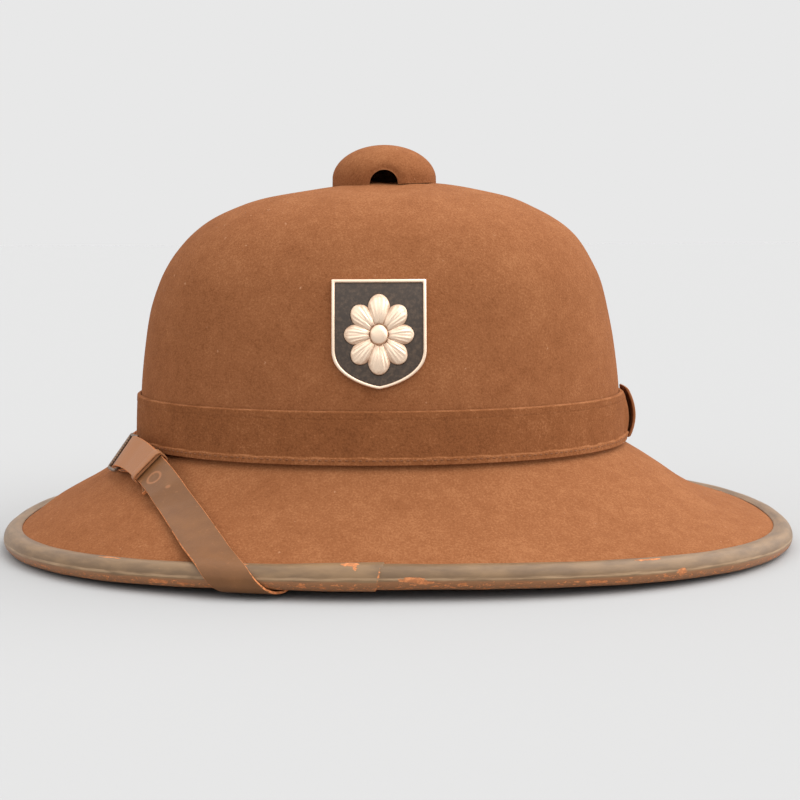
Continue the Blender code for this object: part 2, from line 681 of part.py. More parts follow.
def strap_keeper(route, material):
    """Narrow loop round the layers of strap, with cut corners."""
    keeper = route[4]
    layer, _, _ = strap_layers()
    wide = STRAP_WIDTH / 2.0 + GAP
    low = -GAP
    high = 2.0 * layer + STRAP_THICKNESS + GAP
    cut = KEEPER_THICKNESS * 0.6
    rings = []
    for grow in (0.0, KEEPER_THICKNESS):
        side, bottom, top = wide + grow, low - grow, high + grow
        trim = cut if grow else GAP / 2.0
        rings.append(np.array([
            (side - trim, bottom), (-side + trim, bottom), (-side, bottom + trim), (-side, top - trim),
            (-side + trim, top), (side - trim, top), (side, top - trim), (side, bottom + trim)]))
    inner, outer = rings
    rows = []
    for loop, place in ((inner, -0.5), (inner, 0.5), (outer, 0.5), (outer, -0.5)):
        along = keeper + place * KEEPER_LENGTH + 0.0 * loop[:, 0]
        rows.append(strap_points(route, along, loop[:, 0] / (STRAP_WIDTH / 2.0), loop[:, 1]))
    grid = np.array(rows)
    return make_object("strap_keeper", grid.reshape(-1, 3), torus_faces(len(grid), grid.shape[1]), material)


def buckle(route, material):
    """Rectangular frame of round bar with rounded corners, bent with the strap. It slopes from the bar in
    the strap's loop down to the far bar, which lies over the strap from the right."""
    _, bar_height, bar_place = strap_layers()
    radius = BUCKLE_BAR / 2.0
    side = STRAP_WIDTH / 2.0 + BUCKLE_SIDE_GAP + radius
    corner = BUCKLE_BAR * 0.8
    far_height = STRAP_THICKNESS + 2.0 * GAP + radius
    path = []
    for sign_along, sign_across, first in ((1, 1, 0), (-1, 1, 1), (-1, -1, 2), (1, -1, 3)):
        for turn in (0.0, 0.5, 1.0):
            angle = (first + turn) * math.pi / 2.0
            path.append((sign_along * (bar_place - corner) + corner * math.cos(angle),
                         sign_across * (side - corner) + corner * math.sin(angle),
                         math.cos(angle), math.sin(angle)))
    path = np.array(path)
    rows = []
    for turn in np.arange(8) * math.pi / 4.0 + math.pi / 8.0:
        along = path[:, 0] + radius * math.cos(turn) * path[:, 2]
        across = path[:, 1] + radius * math.cos(turn) * path[:, 3]
        slope = far_height + (bar_height - far_height) * (path[:, 0] + bar_place) / (2.0 * bar_place)
        rise = slope + radius * math.sin(turn)
        rows.append(strap_points(route, along, across / (STRAP_WIDTH / 2.0), rise))
    grid = np.array(rows)
    return make_object("buckle", grid.reshape(-1, 3), torus_faces(len(grid), grid.shape[1]), material)


def build():
    """Clear the scene, then make each piece."""
    for thing in list(bpy.data.objects):
        bpy.data.objects.remove(thing, do_unlink=True)
    felt = make_material("felt", (0.33, 0.13, 0.05), 0.95)
    felt_band = make_material("felt_band", (0.27, 0.10, 0.04), 0.95)
    leather = make_material("painted_leather", (0.27, 0.19, 0.11), 0.55)
    strap_leather = make_material("strap_leather", (0.30, 0.18, 0.10), 0.5)
    steel = make_material("lacquered_steel", (0.22, 0.17, 0.12), 0.4, 0.8)
    silver = make_material("worn_silver", (0.75, 0.68, 0.6), 0.35, 1.0)
    felt_shell(felt)
    hat_band(felt_band)
    brim_binding(leather)
    vent_button(felt)
    rear_tab(felt_band)
    badge(silver)
    route = strap_route()
    strap_left(route, strap_leather)
    strap_right(route, strap_leather)
    strap_keeper(route, strap_leather)
    buckle(route, steel)


build()
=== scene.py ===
"""Felt sun helmet of the pith helmet pattern, dressed for a studio picture.

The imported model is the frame. Each operator makes one piece, or a group of like pieces, as surfaces worked
out from the helmet's sizes. Lengths are in metres, +Z is up, the wearer faces -X, and each piece has its
place in its own mesh.
"""

import math

import bpy
import numpy as np
from bpy.props import FloatProperty, FloatVectorProperty, PointerProperty
from bpy.types import Operator, Panel, PropertyGroup
from mathutils import Matrix, Vector


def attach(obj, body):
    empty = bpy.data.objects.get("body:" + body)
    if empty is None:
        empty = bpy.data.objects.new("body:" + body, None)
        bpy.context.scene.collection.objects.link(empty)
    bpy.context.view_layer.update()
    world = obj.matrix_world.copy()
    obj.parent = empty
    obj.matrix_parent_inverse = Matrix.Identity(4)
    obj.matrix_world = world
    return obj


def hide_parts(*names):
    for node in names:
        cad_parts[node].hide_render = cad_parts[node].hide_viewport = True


bl_info = {
    "name": "Felt Sun Helmet",
    "version": (1, 0, 0),
    "blender": (4, 5, 0),
    "location": "3D View > Sidebar > Helmet",
    "description": "Makes a felt sun helmet with a leather bound brim, badge and chin strap",
    "category": "Object",
}

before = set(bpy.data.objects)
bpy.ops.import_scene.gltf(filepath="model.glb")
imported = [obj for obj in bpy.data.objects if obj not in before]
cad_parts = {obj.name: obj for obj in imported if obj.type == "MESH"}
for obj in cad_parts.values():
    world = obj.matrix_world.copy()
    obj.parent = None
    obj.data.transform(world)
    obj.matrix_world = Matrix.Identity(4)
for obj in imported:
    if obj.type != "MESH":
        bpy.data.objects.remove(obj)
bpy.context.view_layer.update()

# Air between neighbouring pieces
GAP = 0.0003

# Brim, measured over its binding
BRIM_LENGTH = 0.3362
BRIM_WIDTH = 0.2742
BRIM_SQUARENESS = 2.3
SIDE_ARCH = 0.0038
REST_ANGLE = math.radians(9)
FRONT_SLOPE = math.radians(32)
REAR_SLOPE = math.radians(28)

# Crown, measured over the felt at its foot
CROWN_LENGTH = 0.2080
CROWN_WIDTH = 0.1760
CROWN_HEIGHT = 0.1111
CROWN_SQUARENESS = 2.1
CROWN_SHIFT = -0.0075
FOOT_HEIGHT = 0.0408
FELT = 0.0030

# Leather binding: a bead round the edge, and two lips on the felt
BEAD_RADIUS = 0.0046
BEAD_STEP = math.radians(30)
FELT_IN_BEAD = 0.0015
LIP_LENGTH = 0.0046
LIP_THICKNESS = 0.0011
LIP_EDGE = 0.00045
LIP_ROWS = 11
JOINT_ANGLE = math.radians(266.9)
JOINT_SLANT = 0.0030
JOINT_STEP = 0.0006
JOINT_FADE = 0.0500

# Band round the crown's foot
BAND_HEIGHT = 0.0210
BAND_LIFT = 0.0008
BAND_THICKNESS = 0.0013
HEM_HEIGHT = 0.0031
HEM_THICKNESS = 0.0020
BAND_FOLD = 0.0030

# Tab at the rear of the band
TAB_WIDTH = 0.0180
TAB_THICKNESS = 0.0013
TAB_BOW = 0.0030
TAB_RISE = 0.0010
TAB_FAR_BOW = 0.0004

# Swelling of the band beneath the tab's near edge
SWELL_ANGLE = -0.09
SWELL_REACH = 0.06
SWELL_RISE = 0.0022

# Ventilator button
BUTTON_RADIUS = 0.0223
BUTTON_HEIGHT = 0.0160
BUTTON_SHIFT = 0.0021
BUTTON_SKIRT = 0.0012
BUTTON_WALL = 0.0020
VENT_WIDTH = 0.0120
VENT_HEIGHT = 0.0062
VENT_ROUNDING = 0.0014

# Shield badge on the left of the crown
BADGE_WIDTH = 0.0358
BADGE_HEIGHT = 0.0411
BADGE_CENTRE_X = -0.0069
BADGE_LIFT = 0.0505
BADGE_BACK = 0.0012
BADGE_RIM = 0.0013
BADGE_RIM_RISE = 0.0009
BADGE_SHOULDER = 0.36
BADGE_TAPER = 2.2
BADGE_TIP = 1.25
ROSETTE_WIDTH = 0.0270
ROSETTE_HEIGHT = 0.0310
ROSETTE_RISE = 0.0014
ROSETTE_PETALS = 8

# Chin strap, its keeper and its buckle
STRAP_WIDTH = 0.0143
STRAP_THICKNESS = 0.0010
STRAP_LEAN = math.radians(54)
STRAP_BAND_GAP = 0.0006
STRAP_EDGE_ANGLE = math.radians(243.0)
STRAP_UNDER_LENGTH = 0.0360
TAIL_LENGTH = 0.0105
TAIL_DRIFT = 0.30
SETTLE_LENGTH = 0.0190
FOLD_LENGTH = 0.0100
KEEPER_THICKNESS = 0.0008
KEEPER_SHIFT = 0.0250
KEEPER_EASE = 0.0150
KEEPER_LENGTH = 0.0036
BUCKLE_PLACE = 0.0355
BUCKLE_LENGTH = 0.0185
BUCKLE_BAR = 0.0014
BUCKLE_SIDE_GAP = 0.0004

# Stamped ring and nick on the strap's face, past the keeper
STAMP_PLACE = 0.0092
STAMP_RADIUS = 0.0031
NICK_PLACE = 0.0195

# Line of the hem's stitches below the hem's top, and the two lines across the strap's sewn ends
HEM_SEAM = 0.0009
STRAP_SEAMS = (0.004, 0.012)
STRAP_SEAM_STITCHES = 6

# Camera that took the picture, turned up from straight down, then rolled
CAMERA_PLACE = (0.001, -0.676, 0.1276)
CAMERA_TURN = math.radians(84.1)
CAMERA_ROLL = math.radians(-0.23)

# Crown outline, from the foot up: the height, and the front's and the rear's reach, as shares
CROWN_PROFILE = (
    (0.000, 1.000, 1.004),
    (0.100, 0.997, 0.998),
    (0.240, 0.988, 0.988),
    (0.385, 0.970, 0.967),
    (0.505, 0.949, 0.941),
    (0.620, 0.910, 0.909),
    (0.700, 0.867, 0.869),
    (0.777, 0.804, 0.818),
    (0.825, 0.750, 0.768),
    (0.865, 0.688, 0.706),
    (0.900, 0.609, 0.636),
    (0.935, 0.500, 0.552),
    (0.970, 0.285, 0.400),
    (0.987, 0.160, 0.300),
    (0.995, 0.100, 0.215),
    (0.999, 0.057, 0.097),
)

# Brim's upper face, from the crown's foot out: the reach, and the fall at the front, side and rear, as
# shares
BRIM_PROFILE = (
    (0.00, 0.000, 0.000, 0.000),
    (0.06, 0.080, 0.080, 0.075),
    (0.16, 0.200, 0.200, 0.190),
    (0.30, 0.345, 0.360, 0.365),
    (0.46, 0.495, 0.530, 0.575),
    (0.64, 0.640, 0.700, 0.760),
    (0.82, 0.795, 0.855, 0.885),
    (1.00, 1.000, 1.000, 1.000),
)

# Places where the binding's paint is knocked off: distance right of the joint in metres, turn round the
# bead in degrees from level, and half the length and half the height of the chip in metres
CHIPS = (
    (-0.0098, 74.0, 0.0028, 0.0011),
    (-0.0082, 56.0, 0.0006, 0.0014),
    (0.0120, -2.0, 0.0042, 0.0009),
    (0.0165, -16.0, 0.0030, 0.0007),
    (0.0300, -22.0, 0.0016, 0.0006),
    (-0.0265, -30.0, 0.0014, 0.0010),
    (-0.0390, -34.0, 0.0010, 0.0008),
    (-0.0190, -36.0, 0.0018, 0.0005),
    (0.0780, -30.0, 0.0040, 0.0007),
    (0.0880, -36.0, 0.0024, 0.0006),
    (0.1000, 70.0, 0.0060, 0.0005),
    (0.1130, -8.0, 0.0018, 0.0014),
    (0.1060, -22.0, 0.0009, 0.0008),
    (-0.0560, 80.0, 0.0100, 0.0004),
    (-0.1030, 78.0, 0.0050, 0.0004),
    (-0.0800, -28.0, 0.0040, 0.0009),
    (-0.0700, -34.0, 0.0030, 0.0006),
)


def linear(code):
    """Linear red, green and blue of an sRGB hex colour."""
    channels = [int(code[start:start + 2], 16) / 255.0 for start in (1, 3, 5)]
    return tuple(c / 12.92 if c <= 0.04045 else ((c + 0.055) / 1.055) ** 2.4 for c in channels)


def smoothstep(value):
    """3 v squared less 2 v cubed, between 0 and 1."""
    value = np.clip(value, 0.0, 1.0)
    return value * value * (3.0 - 2.0 * value)


def unit(vectors):
    """Each vector over its own length."""
    return vectors / np.linalg.norm(vectors, axis=-1, keepdims=True)


def smooth_rows(places, rows, at):
    """Cubic through rows of values that never overshoots: each inner slope is the harmonic mean of the two
    rates beside it, or level where they differ in sign."""
    places = np.asarray(places, float)
    values = np.asarray(rows, float).reshape(len(places), -1)
    spots = np.asarray(at, float)
    gaps = np.diff(places)[:, None]
    rates = np.diff(values, axis=0) / gaps
    same = rates[:-1] * rates[1:] > 0.0
    slopes = np.zeros_like(values)
    both = np.where(same, rates[:-1] + rates[1:], 1.0)
    slopes[1:-1] = np.where(same, 2.0 * rates[:-1] * rates[1:] / both, 0.0)
    slopes[0] = rates[0]
    slopes[-1] = rates[-1]
    flat = np.clip(spots.ravel(), places[0], places[-1])
    index = np.clip(np.searchsorted(places, flat, side="right") - 1, 0, len(places) - 2)
    width = gaps[index]
    t = (flat - places[index])[:, None] / width
    found = ((1.0 + 2.0 * t) * (1.0 - t) ** 2 * values[index] + t * (1.0 - t) ** 2 * width * slopes[index]
             + t * t * (3.0 - 2.0 * t) * values[index + 1] + t * t * (t - 1.0) * width * slopes[index + 1])
    shape = spots.shape if np.ndim(rows) == 1 else spots.shape + (values.shape[1],)
    return found.reshape(shape)


def run_along(points):
    """Distance along a line of points, from 0."""
    return np.concatenate([[0.0], np.cumsum(np.linalg.norm(np.diff(points, axis=0), axis=1))])


def oval_radius(angles, half_length, half_width, squareness):
    """Polar radius of a superellipse: (|cos|/a to the n + |sin|/b to the n) to the -1/n."""
    along = np.abs(np.cos(angles) / half_length) ** squareness
    across = np.abs(np.sin(angles) / half_width) ** squareness
    return (along + across) ** (-1.0 / squareness)


def crown_section(height):
    """Centre and half sizes of the crown's level section at a height above its foot."""
    share = np.asarray(height, float) / CROWN_HEIGHT
    rows = np.array(CROWN_PROFILE)
    front, rear = np.moveaxis(smooth_rows(rows[:, 0], rows[:, 1:], share), -1, 0)
    centre = CROWN_SHIFT + (rear - front) * CROWN_LENGTH / 4.0
    mean = (front + rear) / 2.0
    return centre, mean * CROWN_LENGTH / 2.0, mean * CROWN_WIDTH / 2.0


def crown_points(angles, height, offset=0.0):
    """Centre plus the section's polar radius, at the height above the foot, moved outwards by the offset."""
    angles, height, offset = np.broadcast_arrays(angles, height, offset)
    centre, half_length, half_width = crown_section(height)
    radius = oval_radius(angles, half_length + offset, half_width + offset, CROWN_SQUARENESS)
    return np.stack([centre + radius * np.cos(angles), radius * np.sin(angles),
                     FOOT_HEIGHT + height], axis=-1)


def edge_slope(angles):
    """Slope of the felt under the binding, eased from the front to the rear."""
    to_rear = (1.0 + np.cos(np.asarray(angles))) / 2.0
    return FRONT_SLOPE + (REAR_SLOPE - FRONT_SLOPE) * to_rear


def edge_frame(angles):
    """Centre of the binding's bead on the brim's superellipse, with the outward, sloping and upright
    directions there. The side arch lifts it by the squared sine past the level rest."""
    half_length = BRIM_LENGTH / 2.0 - BEAD_RADIUS
    half_width = BRIM_WIDTH / 2.0 - BEAD_RADIUS
    radius = oval_radius(angles, half_length, half_width, BRIM_SQUARENESS)
    flat = math.sin(REST_ANGLE) ** 2
    rise = np.clip((np.sin(angles) ** 2 - flat) / (1.0 - flat), 0.0, 1.0)
    height = BEAD_RADIUS * math.cos(BEAD_STEP / 2.0) + SIDE_ARCH * rise
    centre = np.stack([radius * np.cos(angles), radius * np.sin(angles), height], axis=-1)
    across = np.abs(np.cos(angles)) ** (BRIM_SQUARENESS - 1.0) * np.sign(np.cos(angles))
    along = np.abs(np.sin(angles)) ** (BRIM_SQUARENESS - 1.0) * np.sign(np.sin(angles))
    out = unit(np.stack([across / half_length ** BRIM_SQUARENESS,
                         along / half_width ** BRIM_SQUARENESS, 0.0 * angles], axis=-1))
    up = np.array([0.0, 0.0, 1.0]) + 0.0 * out
    tilt = edge_slope(angles)[..., None]
    slope = np.cos(tilt) * out - np.sin(tilt) * up
    normal = np.sin(tilt) * out + np.cos(tilt) * up
    return centre, out, slope, normal


def brim_points(angles, share):
    """Brim's upper face, from the crown's foot at a share of 0, by the lip line at 1, to the edge at 2: a
    straight reach in plan, and a fall read off the brim's table."""
    angles, share = np.broadcast_arrays(angles, share)
    foot = crown_points(angles, 0.0)
    centre, _, slope, normal = edge_frame(angles)
    edge = centre + FELT_IN_BEAD * slope + FELT / 2.0 * normal
    lip = centre - (LIP_LENGTH + 2.0 * LIP_THICKNESS) * slope + FELT / 2.0 * normal
    rows = np.array(BRIM_PROFILE)
    front, side, rear = np.moveaxis(smooth_rows(rows[:, 0], rows[:, 1:], share), -1, 0)
    to_front = np.clip(-np.cos(angles), 0.0, 1.0) ** 2
    to_rear = np.clip(np.cos(angles), 0.0, 1.0) ** 2
    fall = side + (front - side) * to_front + (rear - side) * to_rear
    within = np.clip(share, 0.0, 1.0)[..., None]
    beyond = np.clip(share - 1.0, 0.0, 1.0)[..., None]
    points = foot + (lip - foot) * within + (edge - lip) * beyond
    points[..., 2] = foot[..., 2] + (lip[..., 2] - foot[..., 2]) * fall
    points[..., 2] += (edge[..., 2] - lip[..., 2]) * beyond[..., 0]
    return points


def brim_height(x, y):
    """Height of the brim's upper face over plan points, found by walking to the matching angle and share."""
    share = np.full(np.shape(x), 0.5)
    for _ in range(20):
        centre = CROWN_SHIFT * np.clip(1.0 - share, 0.0, 1.0)
        angles = np.arctan2(y, x - centre)
        found = brim_points(angles, share)
        out = brim_points(angles, share + 0.05)
        here = np.hypot(found[..., 0], found[..., 1])
        rate = (np.hypot(out[..., 0], out[..., 1]) - here) / 0.05
        share = np.clip(share + 0.7 * (np.hypot(x, y) - here) / np.maximum(rate, 0.004), 0.0, 1.95)
    return brim_points(angles, share)[..., 2]


def grid_normals(grid):
    """Cross product of a grid's steps along its closed rows and up its columns, made of length one."""
    along = np.roll(grid, -1, axis=1) - np.roll(grid, 1, axis=1)
    return unit(np.cross(along, np.gradient(grid, axis=0)))


def grid_faces(rows, columns, rows_close, columns_close):
    """Corners of each square of a grid, in order round the square."""
    low = np.arange(rows if rows_close else rows - 1)[:, None]
    left = np.arange(columns if columns_close else columns - 1)[None, :]
    high = (low + 1) % rows
    right = (left + 1) % columns
    corners = [low * columns + left, low * columns + right, high * columns + right, high * columns + left]
    return np.stack(corners, axis=-1).reshape(-1, 4)


def make_surface(name, grid, materials, rows_close=False, columns_close=True, ends="open",
                 marks=None, material_rows=None, sharp=35.0):
    """A mesh of a grid of points: squares between the rows and columns, with open ends, a flat cap at each
    end or a fan to each end's middle. Its UV map runs along the columns and the rows in metres."""
    rows, columns = grid.shape[:2]
    squares = grid_faces(rows, columns, rows_close, columns_close)
    points = grid.reshape(-1, 3)
    faces = squares.tolist()
    if ends == "cap":
        faces.append(list(range(columns - 1, -1, -1)))
        faces.append([(rows - 1) * columns + spot for spot in range(columns)])
    if ends == "fan":
        count = rows * columns
        points = np.concatenate([points, grid[:1].mean(axis=1), grid[-1:].mean(axis=1)])
        for spot in range(columns):
            right = (spot + 1) % columns
            faces.append([count, right, spot])
            faces.append([count + 1, (rows - 1) * columns + spot, (rows - 1) * columns + right])
    mesh = bpy.data.meshes.new(name)
    mesh.from_pydata(points.tolist(), [], faces)
    looped = np.concatenate([grid, grid[:, :1]], axis=1)
    along = np.linalg.norm(np.diff(looped, axis=1), axis=2).mean(axis=0)
    looped = np.concatenate([grid, grid[:1]], axis=0)
    upward = np.linalg.norm(np.diff(looped, axis=0), axis=2).mean(axis=1)
    u = np.concatenate([[0.0], np.cumsum(along)])
    v = np.concatenate([[0.0], np.cumsum(upward)])
    row, spot = squares[:, 0] // columns, squares[:, 0] % columns
    corners = np.stack([np.stack([u[spot], v[row]], 1), np.stack([u[spot + 1], v[row]], 1),
                        np.stack([u[spot + 1], v[row + 1]], 1), np.stack([u[spot], v[row + 1]], 1)], axis=1)
    uv = np.zeros((len(mesh.loops), 2), np.float32)
    uv[:len(squares) * 4] = corners.reshape(-1, 2)
    mesh.uv_layers.new(name="UVMap").data.foreach_set("uv", uv.ravel())
    for mark, values in (marks or {}).items():
        filled = np.zeros(len(points), np.float32)
        filled[:rows * columns] = np.broadcast_to(values, (rows, columns)).ravel()
        mesh.attributes.new(mark, "FLOAT", "POINT").data.foreach_set("value", filled)
    for material in materials:
        mesh.materials.append(material)
    if material_rows is not None:
        picks = np.zeros(len(faces), np.int32)
        picks[:len(squares)] = np.asarray(material_rows)[row]
        if ends == "fan":
            picks[len(squares)::2] = material_rows[0]
            picks[len(squares) + 1::2] = material_rows[-1]
        mesh.polygons.foreach_set("material_index", picks)
    mesh.validate()
    mesh.shade_smooth()
    mesh.set_sharp_from_angle(angle=math.radians(sharp))
    piece = bpy.data.objects.new(name, mesh)
    bpy.context.scene.collection.objects.link(piece)
    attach(piece, "root")
    return piece


def add_node(tree, kind, inputs=(), **settings):
    """Adds a node with its settings, and fills each named input with a value or another node's output."""
    made = tree.nodes.new(kind)
    for name, value in settings.items():
        setattr(made, name, value)
    for key, value in dict(inputs).items():
        if isinstance(value, bpy.types.NodeSocket):
            tree.links.new(value, made.inputs[key])
        else:
            made.inputs[key].default_value = value
    return made


def start_material(name):
    """A new material with its node tree and its shader."""
    material = bpy.data.materials.new(name)
    material.use_nodes = True
    return material, material.node_tree, material.node_tree.nodes["Principled BSDF"]


def mark(tree, name):
    """One of the marks that a piece's mesh carries."""
    return add_node(tree, "ShaderNodeAttribute", attribute_name=name).outputs["Fac"]


def noise(tree, where, size, detail=2.0, roughness=0.5, distortion=0.0):
    """Height of a noise whose patches are about one size across, in metres."""
    return add_node(tree, "ShaderNodeTexNoise",
                    {"Vector": where, "Scale": 1.0 / size, "Detail": detail, "Roughness": roughness,
                     "Distortion": distortion}).outputs[0]


def ramp(tree, value, low, high, first=0.0, last=1.0):
    """Eased share of a value between two limits."""
    return add_node(tree, "ShaderNodeMapRange",
                    {"Value": value, "From Min": low, "From Max": high, "To Min": first, "To Max": last},
                    interpolation_type="SMOOTHSTEP").outputs[0]


def blend(tree, share, first, second, how="MIX"):
    """Two colours mixed by a share."""
    return add_node(tree, "ShaderNodeMix", {0: share, 6: first, 7: second}, data_type="RGBA",
                    blend_type=how).outputs[2]


def sums(tree, how, first, second):
    """Two values worked into one."""
    return add_node(tree, "ShaderNodeMath", {0: first, 1: second}, operation=how).outputs[0]


def raise_bump(tree, shader, height, distance, strength=1.0):
    """Bump of a height, in metres."""
    bump = add_node(tree, "ShaderNodeBump", {"Height": height, "Distance": distance, "Strength": strength})
    tree.links.new(bump.outputs[0], shader.inputs["Normal"])


def rgba(colour):
    """A colour with full cover."""
    return (colour[0], colour[1], colour[2], 1.0)


def wool_felt(name, colour, dark, light, fleck, nap):
    """Short napped wool felt, pressed and brushed: no gloss, a soft sheen at the edges, a fine speckle of
    fibre ends, faint cloudy patches, paler where its mark says, which is sun fading together with painted
    light on the sides and edges that the light falls on, and a few pale specks of lint. The nap is drawn
    about three times the width of a real tuft so that it shows."""
    material, tree, shader = start_material(name)
    where = add_node(tree, "ShaderNodeTexCoord").outputs["Object"]
    fading_and_painted_light = mark(tree, "fading_and_painted_light")
    cloud = noise(tree, where, 0.024, 3.0, 0.6)
    patch = noise(tree, where, 0.0050, 3.0, 0.6)
    tuft = noise(tree, where, nap, 4.0, 0.7)
    fibre = noise(tree, where, nap * 0.4, 1.0, 0.5)
    shade = sums(tree, "ADD", sums(tree, "MULTIPLY", cloud, 0.20), sums(tree, "MULTIPLY", patch, 0.20))
    shade = sums(tree, "ADD", shade, sums(tree, "MULTIPLY", tuft, 0.60))
    # Painted light: the mark pales the felt where the light falls, and on top where the sun faded it too.
    shade = sums(tree, "ADD", shade, sums(tree, "MULTIPLY", fading_and_painted_light, 0.10))
    base = blend(tree, ramp(tree, shade, 0.38, 0.56), rgba(dark), rgba(colour))
    base = blend(tree, ramp(tree, shade, 0.54, 0.72), base, rgba(light))
    stray = add_node(tree, "ShaderNodeTexNoise", {"Vector": where, "Scale": 1.0 / 0.0011, "Detail": 3.0})
    warped = add_node(tree, "ShaderNodeVectorMath", {0: stray.outputs["Color"], 1: (0.0026,) * 3, 2: where},
                      operation="MULTIPLY_ADD").outputs[0]
    lint = add_node(tree, "ShaderNodeTexVoronoi",
                    {"Vector": warped, "Scale": 1.0 / 0.0090}).outputs["Distance"]
    base = blend(tree, ramp(tree, lint, 0.060, 0.025, 0.0, 0.40), base, rgba(fleck))
    tree.links.new(base, shader.inputs["Base Color"])
    shader.inputs["Roughness"].default_value = 0.92
    shader.inputs["Specular IOR Level"].default_value = 0.05
    shader.inputs["Sheen Weight"].default_value = 0.07
    shader.inputs["Sheen Roughness"].default_value = 0.45
    shader.inputs["Sheen Tint"].default_value = rgba(light)
    height = sums(tree, "ADD", sums(tree, "MULTIPLY", tuft, 0.6), sums(tree, "MULTIPLY", fibre, 0.4))
    raise_bump(tree, shader, height, 0.0005, 0.6)
    return material


def painted_leather(name, paint, dark, under, worn, raw):
    """Thin leather painted olive brown and worn by use: a low dull gloss, streaks along the edge, fine
    grain, paler and oranger paint on the downward half as painted light for its shaded underside, paint
    rubbed pale on the outermost line and knocked off to raw orange hide in small chips. The section mark
    is the distance round the binding, so streaks follow the edge."""
    material, tree, shader = start_material(name)
    where = add_node(tree, "ShaderNodeTexCoord").outputs["Object"]
    section = add_node(tree, "ShaderNodeCombineXYZ", {"Z": mark(tree, "section")}).outputs[0]

    def drawn_out(share):
        """Place whose level part is shrunk to a share, so that a pattern on it runs along the edge."""
        level = add_node(tree, "ShaderNodeMapping", {"Vector": where, "Scale": (share, share, 0.0)})
        return add_node(tree, "ShaderNodeVectorMath", {0: level.outputs[0], 1: section},
                        operation="ADD").outputs[0]

    patch = noise(tree, drawn_out(0.25), 0.0040, 4.0, 0.6)
    line = noise(tree, drawn_out(0.10), 0.0010, 3.0, 0.6)
    grain = noise(tree, where, 0.0008, 4.0, 0.6)
    fine = noise(tree, drawn_out(0.45), 0.0011, 5.0, 0.8)
    base = blend(tree, ramp(tree, patch, 0.28, 0.72), rgba(dark), rgba(paint))
    streaked = sums(tree, "MULTIPLY", sums(tree, "SUBTRACT", line, 0.5), 0.8)
    # Painted light: the low mark turns the downward half paler and oranger, standing in for light on its
    # shaded underside.
    lower = sums(tree, "ADD", mark(tree, "low"), streaked)
    base = blend(tree, ramp(tree, lower, 0.20, 0.80, 0.0, 0.85), base, rgba(under))
    rubbed = sums(tree, "MULTIPLY", mark(tree, "rubbed"), 0.34)
    pale = sums(tree, "ADD", sums(tree, "MULTIPLY", line, 0.60), rubbed)
    base = blend(tree, ramp(tree, pale, 0.40, 0.74), base, rgba(worn))
    chips = sums(tree, "ADD", fine, sums(tree, "MULTIPLY", mark(tree, "wear"), 0.19))
    ragged = sums(tree, "ADD", mark(tree, "raw"),
                  sums(tree, "MULTIPLY", sums(tree, "SUBTRACT", fine, 0.5), 2.6))
    chipped = sums(tree, "MAXIMUM", ramp(tree, chips, 0.700, 0.735), ramp(tree, ragged, 0.45, 0.60))
    hide = blend(tree, ramp(tree, fine, 0.45, 0.62), rgba([c * 0.60 for c in raw]), rgba(raw))
    base = blend(tree, sums(tree, "MULTIPLY", chipped, 0.85), base, hide)
    tree.links.new(base, shader.inputs["Base Color"])
    tree.links.new(ramp(tree, chipped, 0.0, 1.0, 0.46, 0.85), shader.inputs["Roughness"])
    shader.inputs["Specular IOR Level"].default_value = 0.40
    height = sums(tree, "SUBTRACT", sums(tree, "MULTIPLY", grain, 0.5), sums(tree, "MULTIPLY", chipped, 0.7))
    raise_bump(tree, shader, sums(tree, "ADD", height, sums(tree, "MULTIPLY", line, 0.2)), 0.00012, 0.8)
    return material


def strap_leather(name, face, dark, pale, raw):
    """Strap leather, dyed on its face and cut with a knife: a smooth waxy face with faint scuffs, a pale
    pinkish stretch where it folds back or is stamped, the same pale colour as painted light near its wrap
    round the binding, and raw orange edges that fray a little."""
    material, tree, shader = start_material(name)
    where = add_node(tree, "ShaderNodeTexCoord").outputs["Object"]
    cut = mark(tree, "raw")
    folded = mark(tree, "folded")
    pressed = mark(tree, "pressed")
    patch = noise(tree, where, 0.012, 4.0, 0.6)
    grain = noise(tree, where, 0.0008, 4.0, 0.65)
    scuff = noise(tree, where, 0.0026, 4.0, 0.7, 1.2)
    base = blend(tree, ramp(tree, patch, 0.22, 0.78), rgba(dark), rgba(face))
    base = blend(tree, sums(tree, "MULTIPLY", ramp(tree, scuff, 0.60, 0.74), 0.40), base, rgba(pale))
    stretch = sums(tree, "ADD", folded, sums(tree, "MULTIPLY", sums(tree, "SUBTRACT", scuff, 0.5), 0.9))
    # The folded mark also carries painted light near the wrap round the binding.
    base = blend(tree, ramp(tree, stretch, 0.25, 0.75, 0.0, 0.85), base, rgba(pale))
    base = blend(tree, ramp(tree, pressed, 0.2, 0.8, 0.0, 0.75), base, rgba(pale))
    ragged = sums(tree, "MULTIPLY", cut, noise(tree, where, 0.0022, 5.0, 0.75))
    hide = blend(tree, ramp(tree, grain, 0.38, 0.62), rgba([c * 0.60 for c in raw]), rgba(raw))
    base = blend(tree, ramp(tree, ragged, 0.42, 0.52), base, hide)
    tree.links.new(base, shader.inputs["Base Color"])
    tree.links.new(ramp(tree, cut, 0.2, 0.9, 0.50, 0.85), shader.inputs["Roughness"])
    shader.inputs["Specular IOR Level"].default_value = 0.28
    raise_bump(tree, shader, sums(tree, "ADD", grain, sums(tree, "MULTIPLY", scuff, 0.6)), 0.00012, 0.8)
    return material


